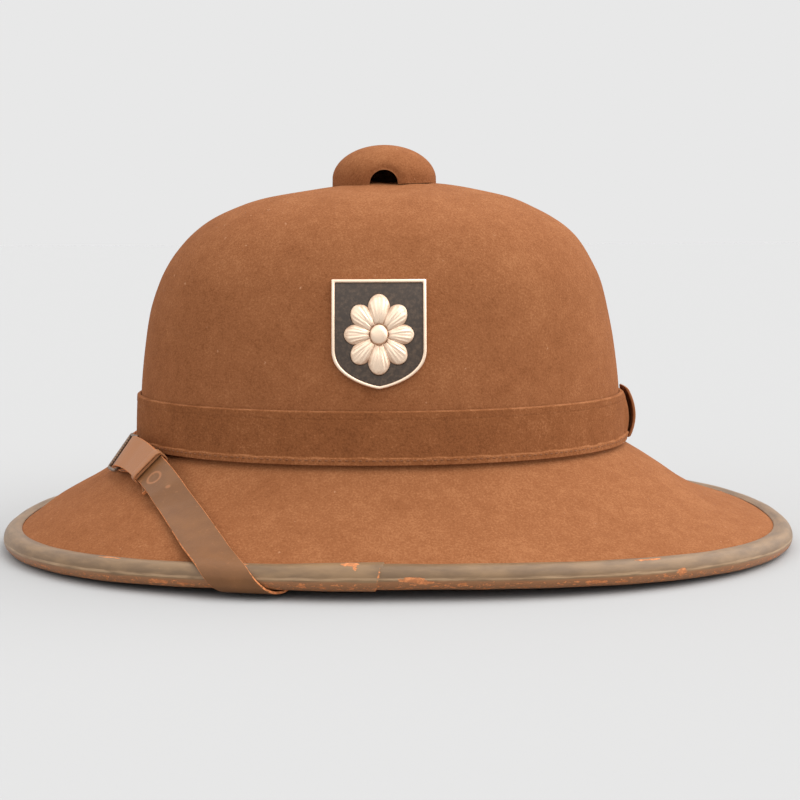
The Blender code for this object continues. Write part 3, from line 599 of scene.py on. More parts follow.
def worn_silver(name, silver, tarnish):
    """Stamped zinc with a silver wash, handled for years: bright on the high lines, brown in the low
    ones, with hairline scratches."""
    material, tree, shader = start_material(name)
    where = add_node(tree, "ShaderNodeTexCoord").outputs["Object"]
    low = mark(tree, "low")
    patch = noise(tree, where, 0.0030, 4.0, 0.65)
    lines = add_node(tree, "ShaderNodeMapping",
                     {"Vector": where, "Rotation": (0.0, 0.6, 0.0), "Scale": (0.1, 1.0, 1.0)}).outputs[0]
    scratch = noise(tree, lines, 0.0004, 2.0, 0.6)
    brown = sums(tree, "ADD", sums(tree, "MULTIPLY", patch, 0.5), sums(tree, "MULTIPLY", low, 0.6))
    base = blend(tree, ramp(tree, brown, 0.34, 0.80), rgba(silver), rgba(tarnish))
    tree.links.new(base, shader.inputs["Base Color"])
    shader.inputs["Metallic"].default_value = 1.0
    tree.links.new(ramp(tree, brown, 0.2, 0.8, 0.34, 0.62), shader.inputs["Roughness"])
    raise_bump(tree, shader, scratch, 0.00005, 0.5)
    return material


def dark_enamel(name, ground, scratched):
    """Baked dark enamel in the shield's field: smooth and faintly glossy, mottled where it has dulled, with
    fine pale scratches."""
    material, tree, shader = start_material(name)
    where = add_node(tree, "ShaderNodeTexCoord").outputs["Object"]
    lines = add_node(tree, "ShaderNodeMapping",
                     {"Vector": where, "Rotation": (0.0, -0.8, 0.0), "Scale": (0.06, 1.0, 1.0)}).outputs[0]
    scratch = noise(tree, lines, 0.0005, 2.0, 0.5)
    mottled = noise(tree, where, 0.0016, 4.0, 0.7)
    base = blend(tree, ramp(tree, mottled, 0.40, 0.70, 0.0, 0.45), rgba(ground), rgba(scratched))
    base = blend(tree, ramp(tree, scratch, 0.70, 0.80, 0.0, 0.5), base, rgba(scratched))
    tree.links.new(base, shader.inputs["Base Color"])
    shader.inputs["Roughness"].default_value = 0.35
    raise_bump(tree, shader, noise(tree, where, 0.0012, 3.0, 0.6), 0.00005, 0.6)
    return material


def lacquered_steel(name, lacquer, worn):
    """Pressed steel with brown lacquer, rubbed through to dull metal on its ridges."""
    material, tree, shader = start_material(name)
    where = add_node(tree, "ShaderNodeTexCoord").outputs["Object"]
    high = mark(tree, "ridge")
    patch = noise(tree, where, 0.0016, 4.0, 0.65)
    rub = sums(tree, "ADD", sums(tree, "MULTIPLY", patch, 0.7), sums(tree, "MULTIPLY", high, 0.35))
    base = blend(tree, ramp(tree, rub, 0.42, 0.70), rgba(lacquer), rgba(worn))
    tree.links.new(base, shader.inputs["Base Color"])
    shader.inputs["Metallic"].default_value = 0.35
    tree.links.new(ramp(tree, rub, 0.4, 0.7, 0.42, 0.55), shader.inputs["Roughness"])
    raise_bump(tree, shader, patch, 0.00010, 0.6)
    return material


def waxed_thread(name, colour):
    """Waxed linen thread: dull and a little fuzzy, in a darker and a lighter tone of one colour."""
    material, tree, shader = start_material(name)
    where = add_node(tree, "ShaderNodeTexCoord").outputs["Object"]
    fuzz = noise(tree, where, 0.0006, 3.0, 0.6)
    base = blend(tree, ramp(tree, fuzz, 0.35, 0.65), rgba([c * 0.65 for c in colour]), rgba(colour))
    tree.links.new(base, shader.inputs["Base Color"])
    shader.inputs["Roughness"].default_value = 0.75
    shader.inputs["Specular IOR Level"].default_value = 0.3
    raise_bump(tree, shader, fuzz, 0.00010, 0.7)
    return material


def finish(name, make, *colours):
    """The material of that name, made the first time that it is asked for."""
    return bpy.data.materials.get(name) or make(name, *colours)


def helmet_felt():
    """Felt of the crown, brim and button."""
    look = bpy.context.scene.helmet_felt
    return finish("wool_felt", wool_felt, look.colour, look.dark, look.light, look.fleck, look.nap)


def band_felt():
    """Felt of the band and its tab, a little darker."""
    look = bpy.context.scene.helmet_felt
    return finish("band_felt", wool_felt, look.band, [c * 0.84 for c in look.dark], look.light, look.light,
                  look.nap)


def chin_leather():
    """Leather of the strap and its keeper."""
    look = bpy.context.scene.helmet_leather
    return finish("chin_leather", strap_leather, look.strap, look.strap_dark, look.strap_pale, look.raw)


def thread():
    """Thread of the seams."""
    return finish("waxed_thread", waxed_thread, bpy.context.scene.helmet_felt.thread)


def settle(angles, height):
    """Small unevenness that years of use leave in felt: a sum of three slow waves round and up."""
    return 0.00022 * (np.sin(3.0 * angles + 17.0 * height) + 0.6 * np.sin(5.0 * angles - 41.0 * height + 1.0)
                      + 0.5 * np.cos(8.0 * angles + 63.0 * height))


def sunfade_and_light_share(grid, normals):
    """How pale the felt is made: more where it faces the sky and towards the rear, the sides that the light
    falls on; painted light together with sun fading.
    """
    return np.clip(0.35 + 0.65 * normals[..., 2] + 1.8 * (grid[..., 0] - CROWN_SHIFT), 0.0, 1.0)


def around(count):
    """Polar angles of a whole turn."""
    return np.arange(count) * 2.0 * math.pi / count


class HELMET_OT_felt(Operator):
    """Crown and brim in one felt wall: the lofted outer face, then that face moved in by the felt's
    thickness along its eased normals"""
    bl_idname = "helmet.felt"
    bl_label = "Felt Crown and Brim"

    def execute(self, context):
        angles = around(288)[None, :]
        rows = np.array(CROWN_PROFILE)
        outline = np.stack([rows[:, 0] * CROWN_HEIGHT, rows[:, 1:].mean(axis=1) * CROWN_LENGTH / 2.0], axis=1)
        run = run_along(outline)
        heights = smooth_rows(run, outline[:, 0], np.linspace(0.0, run[-1], 120))[:, None]
        shares = np.concatenate([np.linspace(2.0, 1.0, 8), np.linspace(1.0, 0.0, 72)[1:]])[:-1, None]
        outer = np.concatenate([brim_points(angles, shares), crown_points(angles, heights)])
        normals = grid_normals(outer)
        weights = np.hanning(11)[:, None, None] / np.hanning(11).sum()
        padded = np.concatenate([normals[:1]] * 5 + [normals] + [normals[-1:]] * 5)
        eased = unit(sum(weights[step] * padded[step:step + len(normals)] for step in range(11)))
        picks = np.linspace(len(outer) - 1, 0, len(outer) // 2).round().astype(int)
        inner = (outer - FELT * eased)[picks]
        settled = smoothstep(outer[..., 2:] / 0.02 - 0.6) * settle(angles, outer[..., 2])[..., None]
        above = smoothstep((outer[..., 2:] - FOOT_HEIGHT - BAND_HEIGHT) / 0.02)
        outer = outer + settled * above * normals
        grid = np.concatenate([outer, inner])
        # Painted light with sun fading on the outer face, paler on top and towards the lit rear; a constant
        # share on the inner face.
        fading_and_painted_light = np.concatenate([sunfade_and_light_share(outer, normals), np.full(inner.shape[:2], 0.2)])
        piece = make_surface("felt_body", grid, [helmet_felt()], rows_close=True, sharp=50.0,
                             marks={"fading_and_painted_light": fading_and_painted_light})
        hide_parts("felt_shell")
        return {"FINISHED"}


class HELMET_OT_band(Operator):
    """Felt band: a closed section round the crown's foot, its outer side thickened at the folded top edge
    and the sewn hem by eased steps, and swelled under the rear tab by a bell curve"""
    bl_idname = "helmet.band"
    bl_label = "Hat Band"

    def execute(self, context):
        angles = around(576)[None, :]
        height = (BAND_LIFT + BAND_HEIGHT * np.linspace(0.0, 1.0, 96))[:, None] + 0.0 * angles
        from_top = BAND_LIFT + BAND_HEIGHT - height
        wave = 0.00012 * np.sin(37.0 * angles) + 0.00010 * np.sin(61.0 * angles + 1.0)
        hem_top = BAND_LIFT + HEM_HEIGHT + wave
        fold_line = BAND_FOLD + 0.8 * wave
        hem = (HEM_THICKNESS - BAND_THICKNESS) * smoothstep((hem_top - height) / 0.0004 + 0.5)
        fold = 0.00012 * smoothstep((fold_line - from_top) / 0.0006 + 0.5)
        groove = 0.00006 * np.exp(-((from_top - fold_line - 0.0003) / 0.00035) ** 2)
        edge = np.minimum(height - BAND_LIFT, from_top) / 0.0005
        rounded = np.sqrt(np.clip(1.0 - (1.0 - np.clip(edge, 0.0, 1.0)) ** 2, 0.0, 1.0))
        outside = GAP + (BAND_THICKNESS + hem + fold - groove) * np.maximum(rounded, 0.12)
        from_swell = (angles - SWELL_ANGLE + math.pi) % (2.0 * math.pi) - math.pi
        upward = np.sin(math.pi * np.clip((height - BAND_LIFT) / BAND_HEIGHT, 0.0, 1.0))
        outside = outside + SWELL_RISE * upward ** 0.8 * np.exp(-(from_swell / SWELL_REACH) ** 2)
        inside = np.linspace(BAND_LIFT + BAND_HEIGHT, BAND_LIFT, 12)[:, None] + 0.0 * angles
        grid = crown_points(angles, np.concatenate([height, inside]),
                            np.concatenate([outside, GAP + 0.0 * inside]))
        broken = 0.6 + 0.4 * np.sin(11.0 * angles) * np.sin(47.0 * angles + 2.0)
        # Painted highlights: broken pale lines along the band's top edge, its fold and the hem's top edge,
        # where those edges catch the light.
        lines = (1.5 * np.exp(-((from_top - 0.0002) / 0.00030) ** 2)
                 + 0.9 * np.exp(-((from_top - fold_line) / 0.00022) ** 2)
                 + 1.1 * np.exp(-((height - hem_top) / 0.00030) ** 2)) * broken
        # Paler towards the lit rear, a painted light, and the hem paler too.
        fading_and_painted_light = np.clip(0.30 + 1.6 * (grid[..., 0] - CROWN_SHIFT), 0.0, 0.8)
        fading_and_painted_light[:len(height)] += lines + 0.5 * smoothstep((hem_top - height) / 0.0004 + 0.5)
        piece = make_surface("felt_band", grid, [band_felt()], rows_close=True, sharp=50.0,
                             marks={"fading_and_painted_light": fading_and_painted_light})
        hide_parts("hat_band")
        return {"FINISHED"}


class HELMET_OT_binding(Operator):
    """Leather binding: two rounded lips joined by a circular bead, carried round the brim's edge, with one
    slanted overlap where the strip's end lies on its start"""
    bl_idname = "helmet.binding"
    bl_label = "Brim Binding"

    def execute(self, context):
        fine = JOINT_ANGLE + np.radians(np.linspace(-3.0, 3.0, 121))
        angles = np.unique(np.concatenate([around(720), fine]))[None, :]
        centre, out, slope, normal = edge_frame(angles)
        near = FELT / 2.0 + GAP / 6.0
        far = FELT / 2.0 + GAP + LIP_THICKNESS
        joint = -math.sqrt(BEAD_RADIUS ** 2 - far ** 2)
        ring = run_along(np.concatenate([centre[0], centre[0][:1]]))[:-1]
        at_joint = np.interp(JOINT_ANGLE, angles[0], ring)
        right_of = ring - at_joint
        right_of = (right_of + ring[-1] / 2.0) % ring[-1] - ring[-1] / 2.0
        lower_tilt = edge_slope(angles)

        def lip(sign):
            """Rings of one lip, from its rounded free edge to the bead: above the felt, or below it at -1."""
            rows = []
            for turn in np.linspace(0.0, math.pi, 7):
                rows.append((LIP_EDGE / 2.0 * (1.0 - math.sin(turn)) - LIP_LENGTH,
                             near + LIP_EDGE / 2.0 * (1.0 - math.cos(turn))))
            for share in np.linspace(0.0, 1.0, LIP_ROWS - 5)[1:-1]:
                rows.append((-LIP_LENGTH + (joint + LIP_LENGTH) * share,
                             near + LIP_EDGE + (far - near - LIP_EDGE) * share ** 1.3))
            return [centre + along * slope + sign * off * normal for along, off in rows]

        bead_start = math.atan2(far, joint)
        bead_turns = np.linspace(bead_start, -bead_start, 44)
        upper = lip(1.0)
        bead = [centre + BEAD_RADIUS * (math.cos(turn) * slope + math.sin(turn) * normal)
                for turn in bead_turns]
        lower = lip(-1.0)[::-1]
        pocket = FELT_IN_BEAD + GAP
        hollow = [centre + pocket * slope - near * normal, centre + pocket * slope + near * normal]
        rings = np.array(upper + bead + lower + hollow)[:, 0]
        section = run_along(rings[:, 0])[:, None]
        lip_turn = np.full(LIP_ROWS, bead_start)
        turns = np.concatenate([lip_turn, bead_turns, -lip_turn, [-3.0, 3.0]])[:, None]
        row = np.arange(len(turns))[:, None]
        bead_end = LIP_ROWS + len(bead_turns)
        outward = np.zeros_like(rings)
        outward[LIP_ROWS:bead_end] = unit(rings[LIP_ROWS:bead_end] - centre)
        outward[:LIP_ROWS] = normal
        outward[bead_end:bead_end + LIP_ROWS] = -normal
        slant = JOINT_SLANT * turns / math.pi
        past = slant - right_of[None, :]
        covers = smoothstep(past / 0.00035 + 0.5) * (1.0 - smoothstep(past / JOINT_FADE))
        skin = ((row >= 4) & (row < bead_end + LIP_ROWS - 4)) * 1.0
        lumps = 0.00004 * (np.sin(right_of * 230.0) + np.sin(right_of * 121.0 + 2.0))
        grid = rings + ((JOINT_STEP * covers + lumps) * skin)[..., None] * outward
        grid[..., 2] = np.maximum(grid[..., 2], 0.0)
        world = turns - lower_tilt
        raw = 0.55 * np.exp(-((past - 0.0004) / 0.0004) ** 2) * (turns < 1.35)
        for along, turn, length, height in CHIPS:
            off_turn = (turns - math.radians(turn) - lower_tilt) * BEAD_RADIUS
            reach = ((right_of[None, :] - along) / length) ** 2 + (off_turn / height) ** 2
            raw = np.maximum(raw, smoothstep(1.25 - 0.6 * reach))
        # Painted light: the downward-facing half of the bead gets the paler, oranger underside paint.
        low = smoothstep((0.12 - world) / 0.55)
        rim = np.exp(-((row - 6.0) / 1.5) ** 2)
        wear = np.clip(0.85 * smoothstep((-0.05 - world) / 0.4) + 0.95 * rim, 0.0, 1.0)
        wear = wear * (row < bead_end + LIP_ROWS - 2)
        rubbed = np.exp(-((world - 0.03) / 0.14) ** 2) + 0.12 * smoothstep((world - 0.5) / 0.5)
        look = context.scene.helmet_leather
        leather = finish("binding_leather", painted_leather, look.paint, look.paint_dark, look.lit_underside_paint,
                         look.paint_worn, look.raw)
        piece = make_surface("leather_binding", grid, [leather], rows_close=True,
                             marks={"wear": wear, "raw": raw * (np.abs(turns) < 2.9), "rubbed": rubbed,
                                    "low": low, "section": section})
        piece.data.flip_normals()
        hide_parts("brim_binding")
        return {"FINISHED"}


def crown_height_at(x, y):
    """Height of the crown's upper face over plan points near its top: where the level section's radius falls
    to the point's own distance, between the two nearest sections."""
    heights = np.linspace(0.9, 0.999, 80) * CROWN_HEIGHT
    centre, half_length, half_width = (part[:, None, None] for part in crown_section(heights))
    angle = np.arctan2(y[None], x[None] - centre)
    reach = oval_radius(angle, half_length, half_width, CROWN_SQUARENESS)
    share = np.hypot(x[None] - centre, y[None]) / reach
    over = np.argmax(share > 1.0, axis=0)
    last = np.take_along_axis(share, over[None] - 1, axis=0)[0]
    past = np.take_along_axis(share, over[None], axis=0)[0]
    part = (1.0 - last) / (past - last)
    return FOOT_HEIGHT + heights[over - 1] + (heights[over] - heights[over - 1]) * part


class HELMET_OT_button(Operator):
    """Ventilator button: two elliptical domes one wall apart, joined by a rim that follows the crown and
    lifts in half an ellipse over the vent on the left, where the felt is turned in by a bell curve"""
    bl_idname = "helmet.button"
    bl_label = "Ventilator Button"

    def execute(self, context):
        half = math.asin(VENT_WIDTH / 2.0 / BUTTON_RADIUS)
        quarter = np.concatenate([np.linspace(-half, half, 41), np.linspace(half, math.pi - half, 45)[1:-1]])
        angles = np.concatenate([quarter, quarter + math.pi])[None, :] + math.pi / 2.0
        centre_x = CROWN_SHIFT + BUTTON_SHIFT
        top = FOOT_HEIGHT + CROWN_HEIGHT + BUTTON_HEIGHT
        base = FOOT_HEIGHT + CROWN_HEIGHT + BUTTON_SKIRT

        def dome(radius, height, count):
            """Rings of one wall, from its skirt on the crown to near its pole."""
            rim_x = centre_x + radius * np.cos(angles)
            rim_y = radius * np.sin(angles)
            rim = crown_height_at(rim_x, rim_y) + GAP
            from_vent = np.abs(radius * np.cos(angles)) / (VENT_WIDTH / 2.0)
            on_left = np.sin(angles) < 0.0
            arch = rim + VENT_HEIGHT * np.sqrt(np.clip(1.0 - from_vent ** 2, 0.0, 1.0)) * on_left
            turn = np.radians(np.linspace(4.0, 88.5, count))[:, None]
            steps = GAP * np.arange(1, count + 1)[:, None] * 0.1
            z = np.maximum(base + (height - base) * np.sin(turn), arch + steps)
            reach = radius * np.cos(turn)
            skirt = np.stack([rim_x, rim_y, arch], axis=-1)
            shell = np.stack([centre_x + reach * np.cos(angles), reach * np.sin(angles), z], axis=-1)
            points = np.concatenate([skirt, shell])
            outside = np.hypot(from_vent, (points[..., 2] - rim) / VENT_HEIGHT) - 1.0
            points[..., 1] += VENT_ROUNDING * on_left * np.exp(-(np.maximum(outside, 0.0) / 0.35) ** 2)
            return points

        outer = dome(BUTTON_RADIUS, top, 40)
        inner = dome(BUTTON_RADIUS - BUTTON_WALL, top - BUTTON_WALL, 20)
        lip = (inner[0] + outer[0]) / 2.0
        grid = np.concatenate([inner[::-1], lip[None], outer])
        # Paler towards the top, where the light falls: painted light.
        fading_and_painted_light = smoothstep((grid[..., 2] - base) / (top - base) * 0.9 + 0.1)
        piece = make_surface("felt_button", grid, [helmet_felt()], ends="fan", sharp=60.0,
                             marks={"fading_and_painted_light": fading_and_painted_light})
        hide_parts("vent_button")
        return {"FINISHED"}


class HELMET_OT_tab(Operator):
    """Rear tab: a rounded rectangular section standing up the band's rear, one edge bowed out by a sine and
    the other close to the band"""
    bl_idname = "helmet.tab"
    bl_label = "Rear Tab"

    def execute(self, context):
        half_angle = TAB_WIDTH / CROWN_LENGTH
        low = BAND_LIFT + 2.0 * GAP
        high = BAND_LIFT + BAND_HEIGHT + TAB_RISE
        rest = HEM_THICKNESS + 2.0 * GAP
        turn = np.linspace(0.0, 2.0 * math.pi, 49)[:-1]
        sideways = np.sign(np.cos(turn)) * np.abs(np.cos(turn)) ** 0.15
        outward = np.sign(np.sin(turn)) * np.abs(np.sin(turn)) ** 0.3
        share = np.linspace(0.0, 1.0, 60)[:, None]
        ends = np.sqrt(np.clip(1.0 - (1.0 - np.clip(np.minimum(share, 1.0 - share) / 0.025, 0.0, 1.0)) ** 2,
                               0.0, 1.0))
        thick = TAB_THICKNESS / 2.0 * np.maximum(ends, 0.40)
        lift = TAB_BOW + (TAB_FAR_BOW - TAB_BOW) * (sideways[None, :] + 1.0) / 2.0
        bow = rest + lift * np.sin(math.pi * share) ** 0.8 + TAB_THICKNESS / 2.0
        heights = low + (high - low) * share + 0.0 * turn
        across = half_angle * sideways[None, :] + 0.0 * share
        grid = crown_points(across, heights, bow + thick * outward[None, :])
        # The near cut edge is made much paler, a painted highlight on an edge that faces away from the key
        # light; the rest is a little pale.
        piece = make_surface("felt_tab", grid, [band_felt()], ends="cap", sharp=50.0,
                             marks={"fading_and_painted_light": 0.7 + 2.6 * smoothstep((-0.93 - sideways) / 0.05) + 0.0 * share})
        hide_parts("rear_tab")
        return {"FINISHED"}


def badge_radius(angles, width, height):
    """Shield's polar radius: a flat top and upright sides, and below the shoulder two curves given by powers
    of the share climbed, which meet in a blunt point."""
    share = np.linspace(0.0, 1.0, 400)
    curve_x = width / 2.0 * (1.0 - (1.0 - share) ** BADGE_TAPER)
    curve_y = height * (BADGE_SHOULDER * share ** BADGE_TIP - 0.5)
    turn = np.arctan2(curve_y, curve_x)
    folded = np.arctan2(np.sin(angles), np.abs(np.cos(angles)))
    side = width / 2.0 / np.maximum(np.abs(np.cos(angles)), 1e-6)
    top = height / 2.0 / np.maximum(np.sin(angles), 1e-6)
    base = np.interp(folded, turn, np.hypot(curve_x, curve_y))
    return np.where(folded < turn[-1], base, np.minimum(side, top))


def badge_points(across, upward, rise):
    """Points over the crown's left side: across and up the badge, and off the felt along its normal."""
    x = BADGE_CENTRE_X + across
    height = BADGE_LIFT + upward

    def depth(at_x, at_height):
        """The crown's left side, solved from its superellipse."""
        centre, half_length, half_width = crown_section(at_height)
        inside = 1.0 - np.abs((at_x - centre) / half_length) ** CROWN_SQUARENESS
        return -half_width * inside ** (1.0 / CROWN_SQUARENESS)

    step = 0.002
    lean = (depth(x + step, height) - depth(x - step, height)) / (2.0 * step)
    tilt = (depth(x, height + step) - depth(x, height - step)) / (2.0 * step)
    spots = np.stack([x, depth(x, height), FOOT_HEIGHT + height], axis=-1)
    normal = unit(np.stack([lean, -1.0 + 0.0 * x, tilt], axis=-1))
    return spots + (rise + GAP)[..., None] * normal


class HELMET_OT_badge(Operator):
    """Shield badge: closed loops from the back's middle, over the rim and the dark field, to a rosette of
    eight domed petals round a button, all bent to the crown"""
    bl_idname = "helmet.badge"
    bl_label = "Shield Badge"

    def execute(self, context):
        metal = context.scene.helmet_metal
        angles = around(384)
        outline = badge_radius(angles, BADGE_WIDTH, BADGE_HEIGHT)
        inside = badge_radius(angles, BADGE_WIDTH - 2.0 * BADGE_RIM, BADGE_HEIGHT - 2.0 * BADGE_RIM)
        star = oval_radius(angles, ROSETTE_WIDTH / 2.0, ROSETTE_HEIGHT / 2.0, 2.0)
        lobe = np.abs(np.cos(ROSETTE_PETALS / 2.0 * (angles + math.pi / 2.0)))
        petal = star * (0.74 + 0.26 * lobe ** 0.8)
        rim_turn = np.linspace(0.0, math.pi, 13)
        rows = []
        for share in (0.25, 0.5, 0.75, 1.0):
            rows.append((share * outline, 0.0 * angles, 0, 0.6))
        for share in (0.5, 1.0):
            rows.append((outline, BADGE_BACK * share + 0.0 * angles, 0, 0.2))
        for turn in rim_turn:
            reach = (outline + inside) / 2.0 + (outline - inside) / 2.0 * math.cos(turn)
            rows.append((reach, BADGE_BACK + BADGE_RIM_RISE * math.sin(turn) ** 0.6 + 0.0 * angles, 0,
                         0.9 - math.sin(turn)))
        for share in (0.97, 0.6, 0.3, 0.06, 0.0):
            rows.append((petal + (inside - petal) * share, BADGE_BACK + 0.0 * angles, 1, 0.0))
        for share in np.linspace(1.0, 0.30, 26)[1:]:
            vein = 0.10 * np.exp(-((1.0 - lobe) / 0.02) ** 2) * (share < 0.94)
            rib = 0.06 * np.cos(6.0 * ROSETTE_PETALS * angles) * smoothstep((share - 0.42) / 0.2)
            dome = (1.0 - ((share - 0.62) / 0.40) ** 2 * 0.75) * (0.35 + 0.65 * lobe ** 0.7)
            shape = np.clip(dome - vein + rib * (share < 0.9), 0.10, None)
            shape = shape * smoothstep((1.0 - share) / 0.05 + 0.25)
            rows.append((share * petal, BADGE_BACK + ROSETTE_RISE * shape, 0,
                         np.clip(0.9 - 0.9 * shape, 0.0, 1.0)))
        for turn in np.linspace(0.0, math.pi / 2.0, 9)[:-1]:
            rows.append((0.20 * star * math.cos(turn) + 0.0008,
                         BADGE_BACK + ROSETTE_RISE * (0.15 + 1.05 * math.sin(turn)) + 0.0 * angles, 0,
                         0.7 - 0.7 * math.sin(turn)))
        reach = np.array([row[0] for row in rows])
        rise = np.array([row[1] for row in rows])
        kinds = np.array([row[2] for row in rows])
        low = np.array([row[3] + 0.0 * angles for row in rows])
        grid = badge_points(reach * np.cos(angles), reach * np.sin(angles), rise)
        silver = finish("silver_wash", worn_silver, metal.silver, metal.tarnish)
        enamel = finish("dark_enamel", dark_enamel, metal.ground, metal.scratched)
        field = kinds.copy()
        field[:-1] = np.maximum(kinds[:-1], kinds[1:])
        piece = make_surface("shield_badge", grid, [silver, enamel], ends="fan",
                             marks={"low": low}, material_rows=field, sharp=40.0)
        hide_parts("badge")
        return {"FINISHED"}


def strap_route():
    """The chin strap's line on the left, from the front's middle to its sewn end under the brim.

    It keeps beside the band, leaves it on a straight line to the brim's edge, wraps the binding and runs in
    under the felt. Returns the distance along it, the middle of the strap's face that lies on the helmet,
    half of its width as a vector towards the crown, the direction away from the helmet, and the keeper's
    place."""
    lean_in = math.cos(STRAP_LEAN)
    lean_up = math.sin(STRAP_LEAN)
    up = np.array([0.0, 0.0, 1.0])
    offset = GAP + HEM_THICKNESS + STRAP_BAND_GAP + STRAP_WIDTH / 2.0 * lean_in
    clearance = 1.5 * GAP
    edge_angle = np.array([STRAP_EDGE_ANGLE])
    bead, out, _, _ = (part[0] for part in edge_frame(edge_angle))

    angles = np.linspace(math.pi, STRAP_EDGE_ANGLE, 241)
    path = crown_points(angles, 0.0, offset)
    heading = unit(np.gradient(path, axis=0))
    to_edge = bead - path
    turn = heading[:, 0] * to_edge[:, 1] - heading[:, 1] * to_edge[:, 0]
    leave = int(np.argmax(turn < 0.0)) if np.any(turn < 0.0) else len(angles) // 2
    picks = np.linspace(0, leave, 13).round().astype(int)
    arc = path[picks]
    arc_out = np.cross(heading[picks], up)
    arc_out *= np.sign(np.sum(arc_out * (arc - np.array([CROWN_SHIFT, 0.0, 0.0])), axis=1))[:, None]
    foot = arc + STRAP_WIDTH / 2.0 * lean_in * arc_out
    arc[:, 2] = brim_height(foot[:, 0], foot[:, 1]) + clearance + STRAP_WIDTH / 2.0 * lean_up
    arc_half = STRAP_WIDTH / 2.0 * (lean_up * up - lean_in * arc_out)
    arc_normal = lean_up * arc_out + lean_in * up

    tangent = np.cross(up, out)
    reach = np.linalg.norm((bead - arc[-1])[:2])
    skew = math.acos(float(np.dot((bead - arc[-1])[:2], out[:2])) / reach)
    fall = math.atan2(arc[-1][2] - bead[2] - BEAD_RADIUS, reach * math.cos(skew))
    wrap = BEAD_RADIUS + 1.5 * GAP
    tilt = float(edge_slope(STRAP_EDGE_ANGLE))
    landing = bead + wrap * (math.sin(fall) * out + math.cos(fall) * up)
    slanted = STRAP_WIDTH / 2.0 / math.cos(skew) * tangent
    line_share = np.linspace(0.0, 1.0, 17)[1:, None]
    ease = smoothstep(line_share)
    line = arc[-1] + (landing - arc[-1]) * line_share
    line_half = arc_half[-1] + (slanted - arc_half[-1]) * ease
    flat = unit(np.cross(slanted, landing - arc[-1]))
    flat *= np.sign(flat[2])
    line_normal = unit(arc_normal[-1] + (flat - arc_normal[-1]) * ease)

    turns = np.linspace(math.pi / 2.0 - fall, -math.pi / 2.0 - tilt, 9)[1:]
    slide = wrap * (turns[0] - turns + turns[0] - turns[1]) * math.tan(skew)
    ring = float(np.linalg.norm(bead[:2]))
    bead_centre, bead_out, _, _ = edge_frame(STRAP_EDGE_ANGLE + slide / ring)
    round_bead = np.cos(turns)[:, None] * bead_out + np.sin(turns)[:, None] * up
    bend = bead_centre + wrap * round_bead
    bend_half = STRAP_WIDTH / 2.0 / math.cos(skew) * np.cross(up, bead_out)

    inward = np.linspace(0.0, STRAP_UNDER_LENGTH, 8)[1:]
    slide_in = slide[-1] + inward * math.tan(skew)
    under_centre, under_out, _, _ = edge_frame(STRAP_EDGE_ANGLE + slide_in / ring)
    start = wrap * math.sin(tilt)
    under = under_centre - (inward + start)[:, None] * under_out
    under_half = STRAP_WIDTH / 2.0 / math.cos(skew) * np.cross(up, under_out)
    past_lip = smoothstep((inward - LIP_LENGTH) / LIP_LENGTH)
    near_bead = (FELT / 2.0 + wrap) / math.cos(tilt)
    near_felt = FELT * 1.5 + 2.0 * GAP
    depth = near_bead + (near_felt - near_bead) * past_lip
    for side in (-1.0, 1.0):
        corner = under + side * under_half
        level = brim_height(corner[:, 0], corner[:, 1]) - depth
        under[:, 2] = level if side < 0.0 else np.minimum(under[:, 2], level)
    under_normal = unit(-math.cos(tilt) * up - math.sin(tilt) * under_out)

    centre = np.concatenate([arc, line, bend, under])
    half = np.concatenate([arc_half, line_half, bend_half, under_half])
    normal = np.concatenate([arc_normal, line_normal, round_bead, under_normal])
    along = run_along(centre)
    keeper = along[len(arc) - 1] + KEEPER_SHIFT
    over_keeper = (KEEPER_THICKNESS + 2.0 * GAP) * smoothstep(2.0 - np.abs(along - keeper) / KEEPER_EASE)
    over_lip = LIP_THICKNESS + GAP
    to_edge = np.concatenate([0.0 * picks, line_share[:, 0]])
    lift = clearance + np.maximum(over_keeper[:len(to_edge)], over_lip * smoothstep(1.7 * to_edge - 0.3))
    on_brim = len(to_edge) - 3
    for side in (-1.0, 1.0):
        corner = centre[:on_brim] + side * half[:on_brim]
        level = brim_height(corner[:, 0], corner[:, 1]) + lift[:on_brim]
        centre[:on_brim, 2] += np.maximum(0.0, level - corner[:, 2])
    return along, centre, half, normal, keeper - BUCKLE_PLACE


def strap_points(route, along, across, rise):
    """Route's middle, plus a share of half its width, plus a rise along its normal. Distances run from the
    buckle's middle, and past the front's middle the route is mirrored to the right side."""
    stations, centre, half, normal, _ = route
    place = np.asarray(along) + BUCKLE_PLACE
    line = smooth_rows(stations, np.concatenate([centre, half, normal], axis=1), np.abs(place))
    point = line[..., :3] + np.asarray(across)[..., None] * line[..., 3:6]
    point = point + np.asarray(rise)[..., None] * unit(line[..., 6:])
    point[..., 1] *= np.where(place < 0.0, -1.0, 1.0)
    return point


def strap_layers():
    """Rise of each layer of strap over the last, height of the buckle's near bar, and the bars' place."""
    layer = STRAP_THICKNESS + 2.0 * GAP
    bar_height = layer + STRAP_THICKNESS + GAP + BUCKLE_BAR / 2.0
    bar_place = (BUCKLE_LENGTH - BUCKLE_BAR) / 2.0
    return layer, bar_height, bar_place


def stations_between(route, low, high):
    """The route's own stations between two distances, with both ends, from the far one to the near one."""
    stations = route[0] - BUCKLE_PLACE
    inside = stations[(stations > low + STRAP_THICKNESS) & (stations < high - STRAP_THICKNESS)]
    return [high, *inside[::-1], low]


def strap_section():
    """Rounded rectangle round a strap: shares of half its width, and shares of its thickness."""
    corner = 0.30
    turn = np.linspace(0.0, math.pi / 2.0, 5)
    top = np.linspace(0.965, -0.965, 27)
    right = 0.975 + 0.025 * np.cos(turn)
    high = 1.0 - corner + corner * np.sin(turn)
    across = np.concatenate([right, top, -right[::-1], -right, top[::-1], right[::-1]])
    thick = np.concatenate([high, 0.0 * top + 1.0, high[::-1], 1.0 - high, 0.0 * top, 1.0 - high[::-1]])
    return across, thick


